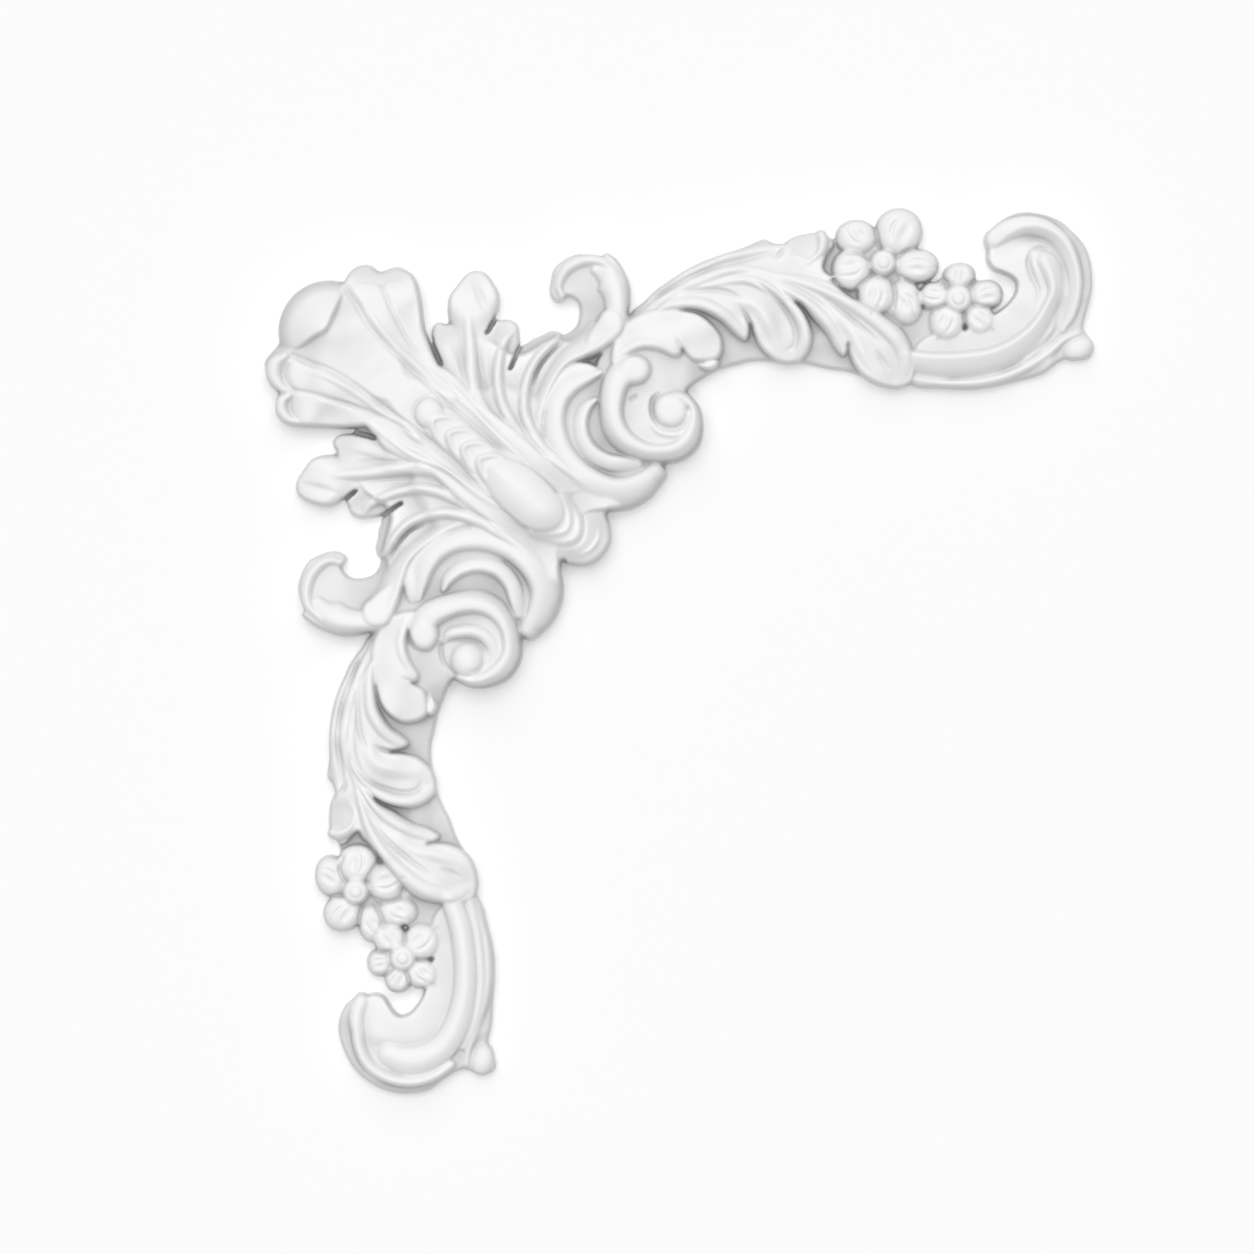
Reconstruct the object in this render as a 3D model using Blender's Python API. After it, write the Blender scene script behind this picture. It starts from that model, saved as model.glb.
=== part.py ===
"""The corner applique as one solid, in metres: a flat back on the wall and a carved face before it."""

import math

import bmesh
import bpy
import numpy as np

NAME = "corner_applique"
MM = 0.001
CELL = 0.6
FRONT_TRIANGLES = 8600
WHITE = (0.8, 0.8, 0.79, 1)
SATIN = 0.45


ROUND = (2.0, 0.5)
ARCH = (2.0, 0.8)
FULL = (3.0, 0.7)
SOFT = (2.0, 1.0)
SLOPE = (1.3, 1.0)
COVE = (1.0, 1.7)
BELL = (2.0, 2.0)
TUBE = (2.6, 0.7)
CUSHION = (3.0, 0.8)
FLAT = (5.5, 0.8)
FALL = (2.4, 0.9)

WALL_SLOPE = 16.0
OUTSIDE = -6.0
REACH = 2.0
SAMPLE = 0.8
WARP_REACH = 7.0
THINNEST = 0.3
PAINT_ROUNDING = 0.3
GRID_ROUNDING = 0.6


def spline(knots, t):
    """Values at t, from 0 to 1, on a smooth curve through evenly spaced knots."""
    knots = np.atleast_1d(np.asarray(knots, float))
    if len(knots) == 1:
        return np.full(np.shape(t) + knots.shape[1:], knots[0])
    ends = np.concatenate([[2 * knots[0] - knots[1]], knots, [2 * knots[-1] - knots[-2]]])
    place = np.clip(np.asarray(t, float), 0, 1) * (len(knots) - 1)
    first = np.minimum(place.astype(int), len(knots) - 2)
    u = place - first
    if knots.ndim > 1:
        u = u[..., None]
    a, b, c, d = (ends[first + k] for k in range(4))
    return 0.5 * (2 * b + (c - a) * u + (2 * a - 5 * b + 4 * c - d) * u**2 + (3 * b - 3 * c + d - a) * u**3)


def flank(share, shape):
    """How much of its height a form keeps at a share of its width: 1 at the crest, 0 at the foot."""
    power, lift = shape
    return np.clip(1 - np.clip(share, 0, 1) ** power, 0, 1) ** lift


class Relief:
    """A carved surface: its height above the wall on a grid of X and Z, in millimetres."""

    def __init__(self, low, high, cell):
        self.x = np.arange(low[0], high[0] + cell, cell)
        self.z = np.arange(low[1], high[1] + cell, cell)
        self.cell = cell
        self.height = np.full((len(self.z), len(self.x)), OUTSIDE)
        self.left_arm = False
        self.shifted = True
        self.shifts = None

    def placed(self, points):
        """Points of the top arm's drawing, brought to the arm that is being carved."""
        points = np.asarray(points, float)
        if not self.left_arm:
            return points
        flat = points.reshape(-1, 2)
        if self.shifted:
            marks, moves = self.shifts
            gap = np.square(flat[:, None] - marks[None]).sum(axis=2)
            weight = np.exp(-gap / (2 * WARP_REACH**2)) + 1e-9
            flat = flat + (weight[..., None] * moves).sum(axis=1) / weight.sum(axis=1)[:, None]
        return -flat[:, ::-1].reshape(points.shape)

    def window(self, low, high):
        rows = slice(*np.searchsorted(self.z, (low[1], high[1])))
        cols = slice(*np.searchsorted(self.x, (low[0], high[0])))
        return (rows, cols), *np.meshgrid(self.x[cols], self.z[rows])

    def lay(self, part, height, blend):
        """Lays a form over what is there, with a fillet where the two meet."""
        below = self.height[part]
        near = np.clip(blend - np.abs(below - height), 0, None)
        self.height[part] = np.maximum(below, height) + near**2 / (4 * blend)

    def wall(self, part, foot):
        """How wide the steep wall is that climbs from what is there to a foot."""
        return np.clip(foot - np.clip(self.height[part], 0, None), 0, None) / WALL_SLOPE

    def near(self, line, reach):
        """For grid points near a line: the distance, the side (1 left, -1 right) and the place along it."""
        part, x, z = self.window(line.min(axis=0) - reach, line.max(axis=0) + reach)
        best = np.full(x.shape, 1e9)
        side = np.zeros(x.shape)
        place = np.zeros(x.shape)
        for k, (start, end) in enumerate(zip(line[:-1], line[1:])):
            step = end - start
            size = math.hypot(*step)
            if size < 1e-6:
                continue
            dx, dz = x - start[0], z - start[1]
            u = np.clip((dx * step[0] + dz * step[1]) / size**2, 0, 1)
            px, pz = dx - u * step[0], dz - u * step[1]
            away = np.hypot(px, pz)
            closer = away < best
            turn = (step[0] * pz - step[1] * px) / (size * np.maximum(away, 1e-9))
            best = np.where(closer, away, best)
            side = np.where(closer, turn, side)
            place = np.where(closer, (k + u) / (len(line) - 1), place)
        return part, best, -side if self.left_arm else side, place

    def along(self, path, reach):
        path = self.placed(path)
        rough = spline(path, np.linspace(0, 1, 8 * len(path)))
        length = np.hypot(*np.diff(rough, axis=0).T).sum()
        return self.near(spline(path, np.linspace(0, 1, max(6, int(length / SAMPLE)))), reach)

    def crest(self, path, left, right, top, feet=(4, 4), flanks=(ROUND, ROUND), blend=0.5):
        """A form that runs along a path: its crest is on the path, and each side falls to its own foot."""
        part, away, side, place = self.along(path, max(np.max(left), np.max(right)) + REACH)
        lean = (1 + side) / 2
        foot = spline(feet[1], place) * (1 - lean) + spline(feet[0], place) * lean
        width = spline(right, place) * (1 - lean) + spline(left, place) * lean
        width = np.maximum(width - self.wall(part, foot), THINNEST)
        share = away / width
        keep = flank(share, flanks[1]) * (1 - lean) + flank(share, flanks[0]) * lean
        height = foot + (spline(top, place) - foot) * keep - WALL_SLOPE * np.clip(away - width, 0, None)
        self.lay(part, height, blend)

    def cut(self, path, width, depth, shape=BELL, floor=3.0):
        """A channel along a path, which sinks what is there and never goes under floor."""
        part, away, _, place = self.along(path, np.max(width) + REACH)
        below = self.height[part]
        sunk = below - spline(depth, place) * flank(away / np.maximum(spline(width, place), 0.05), shape)
        self.height[part] = np.where(below > floor, np.maximum(sunk, floor), below)

    def swell(self, path, width, rise, shape=BELL):
        """A soft ridge along a path, which lifts what is there."""
        part, away, _, place = self.along(path, np.max(width) + REACH)
        below = self.height[part]
        lift = spline(rise, place) * flank(away / np.maximum(spline(width, place), 0.05), shape)
        self.height[part] = np.where(below > 1, below + lift, below)

    def inside(self, outline):
        """The grid near a closed outline, and how far in each point lies from it (negative outside)."""
        outline = self.placed(outline)
        closed = np.concatenate([outline[-1:], outline, outline[:2]])
        t = np.linspace(1, len(outline) + 1, 10 * len(outline), endpoint=False) / (len(closed) - 1)
        line = spline(closed, t)
        line = np.concatenate([line, line[:1]])
        part, away, _, _ = self.near(line, 1.0)
        x, z = np.meshgrid(self.x[part[1]], self.z[part[0]])
        within = np.zeros(x.shape, bool)
        for (x0, z0), (x1, z1) in zip(line[:-1], line[1:]):
            if z0 != z1:
                crossed = (z0 > z) != (z1 > z)
                within ^= crossed & (x < x0 + (z - z0) * (x1 - x0) / (z1 - z0))
        return part, x, z, np.where(within, away, -away)

    def surface(self, x, z, marks, reach):
        """A smooth surface near the marks (x, z, height)."""
        marks = np.asarray(marks, float)
        places = self.placed(marks[:, :2])
        gap = (x[..., None] - places[:, 0]) ** 2 + (z[..., None] - places[:, 1]) ** 2
        weight = np.exp(-gap / (2 * reach**2)) + 1e-9
        return (weight * marks[:, 2]).sum(axis=-1) / weight.sum(axis=-1)

    def sheet(self, outline, marks, edge, foot, shape=ROUND, blend=0.5, reach=9.0):
        """A form inside an outline. Its top passes near the marks, and rounds off at the edge to a foot,
        which is a height, or below zero a drop from the top."""
        part, x, z, depth = self.inside(outline)
        top = self.surface(x, z, marks, reach)
        foot = top + foot if foot < 0 else foot
        keep = flank(1 - np.clip(depth - self.wall(part, foot), 0, edge) / edge, shape)
        below = np.clip(self.height[part], 0, None)
        self.lay(part, np.minimum(below + WALL_SLOPE * depth, foot + (top - foot) * keep), blend)

    def scoop(self, outline, marks, edge, reach=9.0):
        """A hollow inside an outline. Its floor passes near the marks, and rises to what is at the edge."""
        part, x, z, depth = self.inside(outline)
        share = np.clip(depth / edge, 0, 1)
        keep = share * share * (3 - 2 * share)
        below = self.height[part]
        floor = np.minimum(below, self.surface(x, z, marks, reach))
        self.height[part] = below * (1 - keep) + floor * keep

    def dome(self, centre, radii, turn, top, foot, shape=ROUND, square=2.0, blend=0.4):
        """An oval form. turn is the angle of its first radius; square above 2 makes its outline fuller."""
        first = np.array([math.cos(math.radians(turn)), math.sin(math.radians(turn))])
        second = np.array([-first[1], first[0]])
        if self.left_arm:
            first, second = -first[::-1], -second[::-1]
        centre = self.placed(centre)
        reach = max(radii) + REACH
        part, x, z = self.window(centre - reach, centre + reach)
        dx, dz = x - centre[0], z - centre[1]
        u, v = dx * first[0] + dz * first[1], dx * second[0] + dz * second[1]
        wall = self.wall(part, foot)
        across, along = np.abs(u / (radii[0] - wall)), np.abs(v / (radii[1] - wall))
        share = (across**square + along**square) ** (1 / square)
        height = foot + (top - foot) * flank(share, shape)
        height -= WALL_SLOPE * np.clip(share - 1, 0, None) * min(radii)
        self.lay(part, height, blend)

    def slit(self, path, width):
        """A gap that goes nearly down to the wall."""
        self.cut(path, width, (22,), FULL, floor=0.7)

    def soften(self, radius):
        """Rounds the whole surface, as a coat of paint does."""
        reach = int(3 * radius / self.cell) + 1
        weights = np.exp(-0.5 * (np.arange(-reach, reach + 1) * self.cell / radius) ** 2)
        weights /= weights.sum()
        for axis in (0, 1):
            ends = [(reach, reach) if side == axis else (0, 0) for side in (0, 1)]
            padded = np.pad(self.height, ends, mode="edge")
            size = self.height.shape[axis]
            self.height = sum(
                weight * np.take(padded, range(k, k + size), axis=axis) for k, weight in enumerate(weights)
            )


def both_sides(path):
    """A path of the palmette and the same path across the diagonal."""
    return path, [(-z, -x) for x, z in path]


def palmette(r):
    """The shell at the outer corner: a flute with a curled lip, and two fluted lobes on each side of it."""
    r.sheet([(-36, 14.6), (-39, 17.8), (-50, 18.7), (-63.4, 20.7), (-67.9, 23.8), (-69.4, 28),
             (-68.8, 31.4), (-67.4, 32.6), (-70, 35), (-71.9, 40), (-71.3, 43.2), (-66.7, 47.8),
             (-66.4, 50), (-65.3, 55.2), (-62.9, 59.8), (-60.5, 61.9), (-52.6, 65.6), (-47, 65.3),
             (-45, 65), (-42.2, 68.6), (-39.2, 70.3), (-35.5, 70.2), (-32.5, 67.9), (-29, 68.7),
             (-26, 68.6), (-21.7, 65.2), (-20, 58), (-19.7, 50), (-19, 46), (-15.7, 36.3), (-8, 24), (4, 8),
             (-8, -4), (-24, 8)],
            [(-62, 62, 5), (-54, 65, 6), (-65, 54, 6), (-46, 46, 15.6), (-36, 36, 15.2), (-25, 25, 14.8),
             (-12, 12, 13.8), (-37, 69, 7.6), (-71, 39, 7.4), (-38, 62, 13), (-62, 38, 12.6),
             (-28, 68, 7.6), (-68, 27, 8), (-28, 61, 12.6), (-61, 28, 12.2), (-33, 50, 14.4),
             (-50, 33, 14.4), (-22, 50, 11), (-50, 20.4, 10.2), (-26, 48, 12.8), (-46, 25.5, 12.8),
             (-20, 38, 11.8), (-38, 18.6, 11.8)], 1.3, -1.7, SOFT, reach=3.6)
    r.dome((-50.3, 50.2), (16.4, 16.4), 0, 19, 6.5, SOFT)
    side = [(-43.4, 63.4), (-40.6, 58), (-37.2, 50.7), (-31.7, 42.9), (-26.4, 36.8), (-20, 29.6), (-12, 21)]
    lip = [(-62, 45.6), (-59.4, 46.4), (-54.8, 49), (-51.2, 50.6), (-48.8, 54.6), (-46.4, 59.4), (-45, 62.8)]
    r.scoop([*lip, *side, *both_sides(side[::-1])[1]],
            [(-50, 50, 16.2), (-46, 57.6, 12.6), (-57.6, 46, 12.6), (-44.4, 61, 10.6), (-61, 44.4, 10.6),
             (-44, 51, 13.8), (-51, 44, 13.8), (-43, 43, 13.6), (-36, 36, 13.8), (-25, 25, 14),
             (-16, 16, 13.8)], 0.9, reach=3.4)
    rib = [(-38.6, 60), (-35, 51.6), (-29.8, 44), (-24.6, 38), (-18.2, 31), (-11, 22.6)]
    flute = [(-32.2, 63), (-30, 55.6), (-27.6, 49.6), (-24.8, 43.6), (-20.6, 37.6)]
    rim = [(-42.4, 62.8), (-40.6, 64.4), (-36.4, 64.5), (-33, 63.6), (-32, 62.6), (-31, 63.8),
           (-27.6, 64.4), (-24, 63.6)]
    for place in (0, 1):
        r.cut(both_sides(side)[place], (1.6, 1.5, 1.2, 1.0, 1.0, 0.9), (1.2, 1.5, 1.3, 1.1, 1.1, 0.9))
        r.swell(both_sides(rib)[place], (1.1, 1.5, 1.4, 1.1), (0, 0.8, 0.8, 0))
        r.cut(both_sides(flute)[place], (0.9, 1.2, 1.0, 0.7), (0.6, 0.9, 0.8, 0))
        r.cut(both_sides(rim)[place], (0.8, 0.9, 0.9, 0.8), (0.2, 0.5, 0.6, 0))
    r.swell([(-21.2, 62), (-21.2, 54), (-20.8, 46)], (1.1, 1.2, 1), (0, 0.7, 0))
    r.crest([(-64.6, 43.4), (-68, 41.4), (-69, 37.6), (-67.4, 33.8), (-64.4, 31.6)],
            (1.2, 2.2, 2.6, 2.2, 1), (1, 2.4, 2.8, 2, 0.8), (13, 12.6, 12.2, 11.8, 11.4),
            ((11, 9.6, 9, 9.6, 10.6), (10, 7, 7, 7.6, 9)))
    r.crest([(-64, 31), (-67, 29.4), (-67.6, 26), (-65.4, 23), (-61, 21.6)], (1, 1.8, 2.2, 1.8, 1),
            (0.8, 1.8, 2.2, 1.8, 0.8), (11.4, 11.8, 11.6, 11.2, 10.8),
            ((10.6, 9.4, 8.8, 9.4, 10.2), (9, 7, 7, 7.6, 9)))
    r.cut([(-62.8, 41.4), (-65.4, 39), (-65.8, 36), (-64, 32.4)], (0.8, 1.2, 1.2, 0.8),
            (0.3, 1.1, 1.1, 0.3))
    r.cut([(-63.4, 30.6), (-64.8, 28), (-64.6, 25), (-62.6, 22.6)], (0.8, 1.1, 1.1, 0.8),
            (0.3, 0.9, 0.9, 0.3))
    r.cut([(-60, 29.4), (-50.4, 27.7), (-43, 24.8), (-36.5, 21.4), (-30, 17.5), (-23, 12.5)],
            (0.7, 1.1, 1.1, 0.7), (0, 1, 0.9, 0))
    r.cut([(-42, 22), (-36, 18.6), (-28, 13.6), (-21, 9)], (0.6, 0.9, 0.9, 0.6), (0, 0.7, 0.7, 0))


HUSKS = ((-20.7, 19.2, 17), (-15.8, 14.6, 17.6), (-11.5, 10, 18.2), (-6.9, 5.6, 18.8))


def bead_and_husks(r):
    """The bead, the nested husks and the cabochon on the diagonal."""
    r.sheet([(-22.6, 15), (-21, 17.4), (-19.4, 20.4), (-17, 22.4), (-13, 21.6), (-6, 14.4), (0, 8.4),
             (8, 3), (-3, -8), (-8.8, -1.2), (-13, 5)], [(-20, 20, 14.8), (-10, 10, 15.6), (0, 0, 17.2)],
            1.2, -1.2, SOFT)
    for x, z, top in HUSKS:
        r.sheet([(x, z), (x + 2.8, z + 1.1), (x + 7, z + 0.9), (x + 10.4, z - 2), (x + 12, z - 7),
                 (x + 6.4, z - 12), (x + 3.4, z - 9.8), (x + 0.9, z - 6.6), (x - 0.3, z - 2.9)],
                [(x + 1, z - 1, top), (x + 5, z - 5, top - 1.3), (x + 7, z - 1, top - 0.9),
                 (x + 1, z - 6, top - 0.9), (x + 9, z - 9, top - 3)], 1.0, -1.1, ROUND, blend=0.15, reach=3)
        r.swell([(x + 9.6, z - 1.8), (x + 6.4, z - 0.1), (x + 2.8, z), (x + 1, z - 0.9), (x + 0.8, z - 2.9),
                 (x + 1.8, z - 6), (x + 3.8, z - 8.8)], (0.8, 1.1, 1.1, 0.8), (0, 0.7, 0.8, 0.7, 0))
    r.dome((-20.6, 21), (4.7, 4.7), 0, 17, 15.2, CUSHION, blend=0.15)
    r.cut([(-17.4, 25.6), (-21, 26.2), (-24.4, 24.2), (-25.6, 21), (-24.4, 17.6), (-22, 15.6)],
            (0.4, 0.6, 0.7, 0.6, 0.4), (0, 0.7, 1, 0.8, 0))
    r.sheet([(-4.4, 3.4), (0, 4.8), (5, 3.8), (10, 0.8), (14.2, -3.4), (17.6, -8), (19.3, -12.4),
             (18.8, -16.2), (16.2, -18.8), (12, -19.4), (7, -17.8), (2, -13.4), (-2.4, -8), (-4.6, -2)],
            [(-2, 2, 19.6), (2, -2, 20.6), (7, -7, 21.4), (12, -12, 21), (16, -16, 19.8)], 8, 17.2,
            (2.2, 0.9), blend=0.2)


def collars(r):
    """Three nested collars below the cabochon."""
    r.sheet([(14, -8), (24, -6), (30, -8), (34, -12), (33.2, -16), (34, -20.4), (33.4, -25.2),
             (29.8, -29.8), (24.8, -31.9), (19, -31), (17.4, -29.8), (12, -34), (8, -30), (6, -24),
             (8, -14)],
            [(17, -17, 17), (22, -22, 15.8), (30, -28, 9.6), (33, -20, 9.6), (20, -31, 9.6), (27, -25, 13),
             (27, -16, 13), (16, -26, 13), (31, -11, 10), (11, -31, 10)], 1.4, -1.8, ROUND, reach=3.4)
    r.swell([(21.4, -10.4), (23.4, -14.6), (23.8, -19), (22.4, -22.4), (18.6, -23.6), (13, -22.4)],
            (0.8, 1.3, 1.3, 0.8), (0, 0.8, 0.8, 0))
    r.cut([(22.8, -10.6), (25.2, -15), (25.4, -20), (23.6, -24), (19, -25.4), (13.6, -24)],
            (0.5, 0.9, 0.9, 0.5), (0, 0.6, 0.6, 0))
    r.swell([(19.4, -9), (20.8, -13), (21, -17), (19.8, -19.8), (16.6, -20.8), (12, -20.6)],
            (0.7, 1, 1, 0.7), (0, 0.7, 0.7, 0))
    r.swell([(30.4, -19), (29.4, -23.6), (26.6, -26.8), (22.6, -28.4)], (0.6, 0.9, 0.9, 0.6),
            (0, 0.8, 0.8, 0))


def ground(r):
    """The low ground that joins the scrolls and leaves of an arm."""
    r.sheet([(38, 15), (39, 24), (40, 32), (46, 42), (60, 50), (80, 58), (95, 60), (104, 62.4),
             (112.4, 65.6), (116.6, 63.6), (118, 58), (120, 50), (122, 46), (134, 42), (143, 40), (150, 34),
             (158, 34), (168, 42), (172, 50), (182, 36), (176, 24), (160, 16), (140, 16), (128, 18),
             (119, 20.5), (113.8, 22.7), (107.4, 24.3), (100.5, 26.4), (92, 27.5), (88, 28.3), (83, 28.8),
             (78, 28), (72.7, 26.9), (68, 24.9), (64, 22.8), (62.2, 20.6), (63, 14), (60, 6), (52, 3),
             (44, 5)],
            [(66, 33, 9), (75, 39, 6.4), (79, 35, 6), (68, 26, 6.4), (73, 28.6, 4.4), (84, 30.4, 4.2),
             (92, 29.4, 4.2), (102, 41, 2.4), (105, 35, 6), (106, 27, 4.4), (114, 25, 4), (83.6, 38.6, 2),
             (43.6, 17, 11.6), (48, 14, 13), (50, 9, 13), (45, 24, 11.6), (52, 25, 11.8), (60, 27, 10.6),
             (54, 32, 11.6), (60, 33, 9), (150, 28, 5), (90, 50, 7), (111, 60, 3), (116, 62, 3)], 1.0, -1.4,
            SOFT, reach=3.4)


def body(r):
    """The mass under the leaves and scrolls of one arm."""
    r.sheet([(-19, 41), (-13, 46), (0, 44), (9, 38), (20, 42), (30, 41), (43, 46), (50, 49.5), (60, 55),
             (75, 60), (92, 63), (104, 61), (112, 52), (118, 42), (124, 34), (112, 38), (100, 46), (88, 44),
             (78, 48), (66, 48), (56, 44), (48, 37), (43, 30), (39, 20), (40, 10), (46, 5), (52.2, 1),
             (51, -4), (46, -9), (40, -14.4), (32.6, -15.4), (27, -16), (20, -20), (0, -12), (-8, 4),
             (-16, 24)],
            [(-4, 38, 9), (4, 18, 12), (14, 2, 14), (12, 34, 9), (28, 38, 8), (28, 24, 10.5),
             (30.6, 12, 11.4), (30.6, 17, 11.4), (33.8, 15, 7.6), (33.4, 21, 7.6), (34.8, 9, 8), (38, 3, 8),
             (44, -5, 10), (48.6, -0.4, 8), (38.6, 31.6, 11), (50, 46, 10), (66, 53, 10), (86, 56, 10.5),
             (104, 50, 10), (20, 10, 12), (27, -10, 13), (-17, 42, 4.6), (-16, 38, 7), (32, 33, 7),
             (37.6, 33, 11)], 1.6, 3, SOFT, reach=3.6)


def side_leaf(r):
    """The leaf beside the palmette: a tall middle lobe between two small ones, ribbed down to the husks."""
    r.sheet([(-15.4, 36.3), (-16.9, 42), (-18, 46), (-17, 49.2), (-15, 50.2), (-12.4, 49.4), (-12.2, 53.9),
             (-11.2, 58), (-8.2, 61.6), (-5, 64.7), (-2.2, 65.5), (0.8, 64.6), (3.2, 61.3), (4.8, 57),
             (4.6, 53), (3.2, 49.8), (5, 49), (7.5, 49), (9.9, 47), (10.2, 43), (9.9, 39.8), (7.6, 35),
             (6.6, 26), (8, 16), (13, 8), (6, 4), (-4, 12), (-12, 24)],
            [(-4, 65, 6.6), (-4, 60, 9), (-4, 54, 10), (-16, 47, 6.6), (-13, 40, 8.4), (7, 46, 6),
             (6, 38, 4.6), (-4, 42, 9.4), (-1, 40, 7.6), (-4, 30, 11), (0, 31, 8.2), (6, 30, 5.4),
             (5.4, 24, 7.2), (3, 20, 10.6), (7, 9, 13.6)], 1.2, -1.9, ROUND, reach=3.6)
    r.swell([(-5.6, 52), (-5.8, 47), (-5.8, 40), (-6, 33), (-5.4, 27), (-3, 20.6), (1, 13.6), (5, 8)],
            (1.2, 1.8, 2, 2, 1.8, 1.4), (0, 1.6, 2.6, 2.8, 2.2, 0.6), TUBE)
    r.swell([(8.4, 45), (5.6, 42.4), (3.6, 38), (2.2, 32), (2.1, 26), (3.6, 19.6), (7.4, 12.4), (13, 5)],
            (0.9, 1.5, 1.7, 1.8, 1.8, 1.4), (0.3, 2.2, 3, 3, 2.2, 0.4), TUBE)
    r.swell([(-14, 46), (-13, 40), (-10.8, 33), (-7, 25.6), (-3.6, 20)], (1.6, 2.2, 1.6, 1), (0, 1, 1, 0),
            TUBE)
    r.cut([(-9.4, 46), (-9.2, 39), (-8.6, 32), (-6, 25)], (0.8, 1.1, 1), (0, 1, 0))
    r.cut([(-3, 46.4), (-3.2, 39), (-2.8, 32), (-1, 25), (2.4, 18)], (0.9, 1.2, 1.2), (0, 1.2, 0.2))
    r.cut([(0.6, 38), (0.1, 33), (0.3, 27), (1.8, 21)], (0.7, 0.9, 0.7), (0, 0.9, 0))
    r.cut([(-3, 62), (-1.2, 56.6), (0.6, 51)], (1.4, 2, 1.2), (0.2, 0.9, 0.2))
    r.slit([(3.4, 50.2), (1.4, 47.4), (-0.2, 45)], (0.6, 0.6, 0.4))
    r.cut([(-12.2, 49.8), (-10.6, 48.2)], (0.8, 0.5), (4, 0.4))
    r.slit([(10.4, 40.4), (8.6, 37.2), (6.3, 33)], (0.6, 0.6, 0.4))
    r.slit([(-18.9, 46.4), (-18, 43), (-16.9, 39.6), (-15.8, 36.6)], (0.5, 0.5, 0.7, 0.6))


def rib_fan(r):
    """The fine ribs between the palmette and the side leaf."""
    r.sheet([(-20, 39), (-16, 36), (-12, 33), (-4, 23.4), (6, 13.6), (16, 3.6), (28, -6), (24, -9),
             (15, -9), (9, -4), (2, 7), (-8, 17), (-18, 27), (-22, 33)],
            [(-20, 36, 11.6), (-14, 28, 13.2), (-5, 17, 14.8), (5, 7, 16.2), (12, 1, 16.6), (18, -4, 14.8),
             (25, -5, 12.6)], 1.6, -1, SOFT, reach=5)
    r.swell([(-20, 37.4), (-16, 33), (-10, 26), (-3, 17), (4, 9), (12, 1)], (0.7, 1, 1, 0.6),
            (0, 0.9, 0.9, 0))
    r.swell([(-19.6, 34), (-14, 28.4), (-7, 20.4), (0, 12.2), (7, 4.6), (15, -3)], (0.7, 1, 1, 0.6),
            (0, 0.9, 0.9, 0))


def fan_lobe(r):
    """The low lobe that leans on the stem, with one long rib."""
    r.sheet([(10.2, 39.8), (12.2, 41), (14.5, 42.4), (17, 43.1), (20, 44.3), (22.8, 43.8), (23.8, 42.4),
             (26, 40), (24, 34), (19, 28), (15, 20), (16, 10), (24, 0), (29, -6), (22, -5), (14, 3),
             (8, 14), (5.5, 26), (6.8, 33.3)],
            [(20, 44, 3.6), (12, 41, 3.4), (16, 39, 5), (21, 41, 5), (8, 31, 5.2), (24, 38, 4.8),
             (11, 34, 5.2), (18, 34, 6.2), (7, 24, 7.4), (14, 26, 8.6), (12, 12, 12.6), (22, -1, 14)], 1.0,
            -1.2, SOFT, reach=3.4)
    r.swell([(23.6, 43), (20.2, 40), (16, 36.4), (13, 32.4), (11, 28), (9.9, 23), (9.8, 18), (11.6, 12.4),
             (15, 6.8), (20, 1), (25, -3.6), (30, -7)], (0.8, 1.4, 1.6, 1.7, 1.8, 1.8, 1.6, 1.2),
            (1.4, 3.2, 3.6, 3.4, 3, 2.4, 1.6, 0), TUBE)
    r.cut([(24.2, 40.6), (20.2, 37.6), (16.8, 34.4), (14.4, 31), (13, 27.2)], (0.5, 0.6, 0.6, 0.6, 0.4),
            (1, 2.4, 3.4, 3, 1), ROUND)


def stem(r):
    """The leaf stem that rises beside the inner scroll and turns up into the hook."""
    r.crest([(13.4, 12), (14.4, 18), (16.6, 23.4), (20.2, 29.4), (24.4, 33.6), (30.2, 36), (35.6, 38.2),
             (40, 41.6), (41.2, 45.4)], (2, 2.4, 3, 4, 5, 6.6, 8, 7, 3),
            (1.6, 1.4, 1.2, 1.2, 1.4, 1.6, 1.8, 2.2, 2.2),
            (13.4, 13.4, 13.4, 13.4, 13.6, 13.8, 14.6, 15, 14.8),
            ((11.6, 10.4, 9, 7, 5.6, 5.6, 7, 9.5, 11), (12.8, 12.8, 12.8, 12.6, 12.2, 12, 12, 12, 12.6)),
            (SLOPE, ROUND))
    r.sheet([(31, 39), (35.4, 46), (37.4, 48.6), (40.4, 49.2), (42.8, 47.4), (43.4, 44), (42, 40.6),
             (37, 37.6)], [(34, 41, 12.6), (39, 46, 14.4), (41, 42, 15.2), (37, 38.6, 14.4)], 1.2, -1.4,
            ROUND, reach=3)


def stem_gap(r):
    """What lies under the stem: a deep three-cornered gap, or the broad shoulder of the left arm's leaf."""
    if r.left_arm:
        r.shifted = False
        r.dome((32.6, 31), (6.6, 2.7), 0, 12.4, 10.4)
        r.shifted = True
        return
    r.scoop([(28.4, 33.3), (32, 34.4), (36, 35.6), (34.4, 33), (33.8, 31.2), (32.2, 32.2), (30, 33)],
            [(32, 33, 3)], 0.6)


def lobe_four(r):
    """The small leaf between the stem and the outer scroll."""
    r.sheet([(15.6, 19), (17.4, 23.8), (20.6, 28.8), (24.2, 32), (27.6, 33.3), (31.4, 32.6), (34.4, 30.8),
             (36.2, 29.8), (35.4, 28.8), (31, 26.6), (26, 24.6), (22, 21), (19, 16)],
            [(18, 20, 12.8), (22, 27, 12.4), (27, 31, 11.6), (34, 30, 11.4), (28, 28, 12.8)], 1.0, -1.6,
            ROUND, reach=3)


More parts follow.
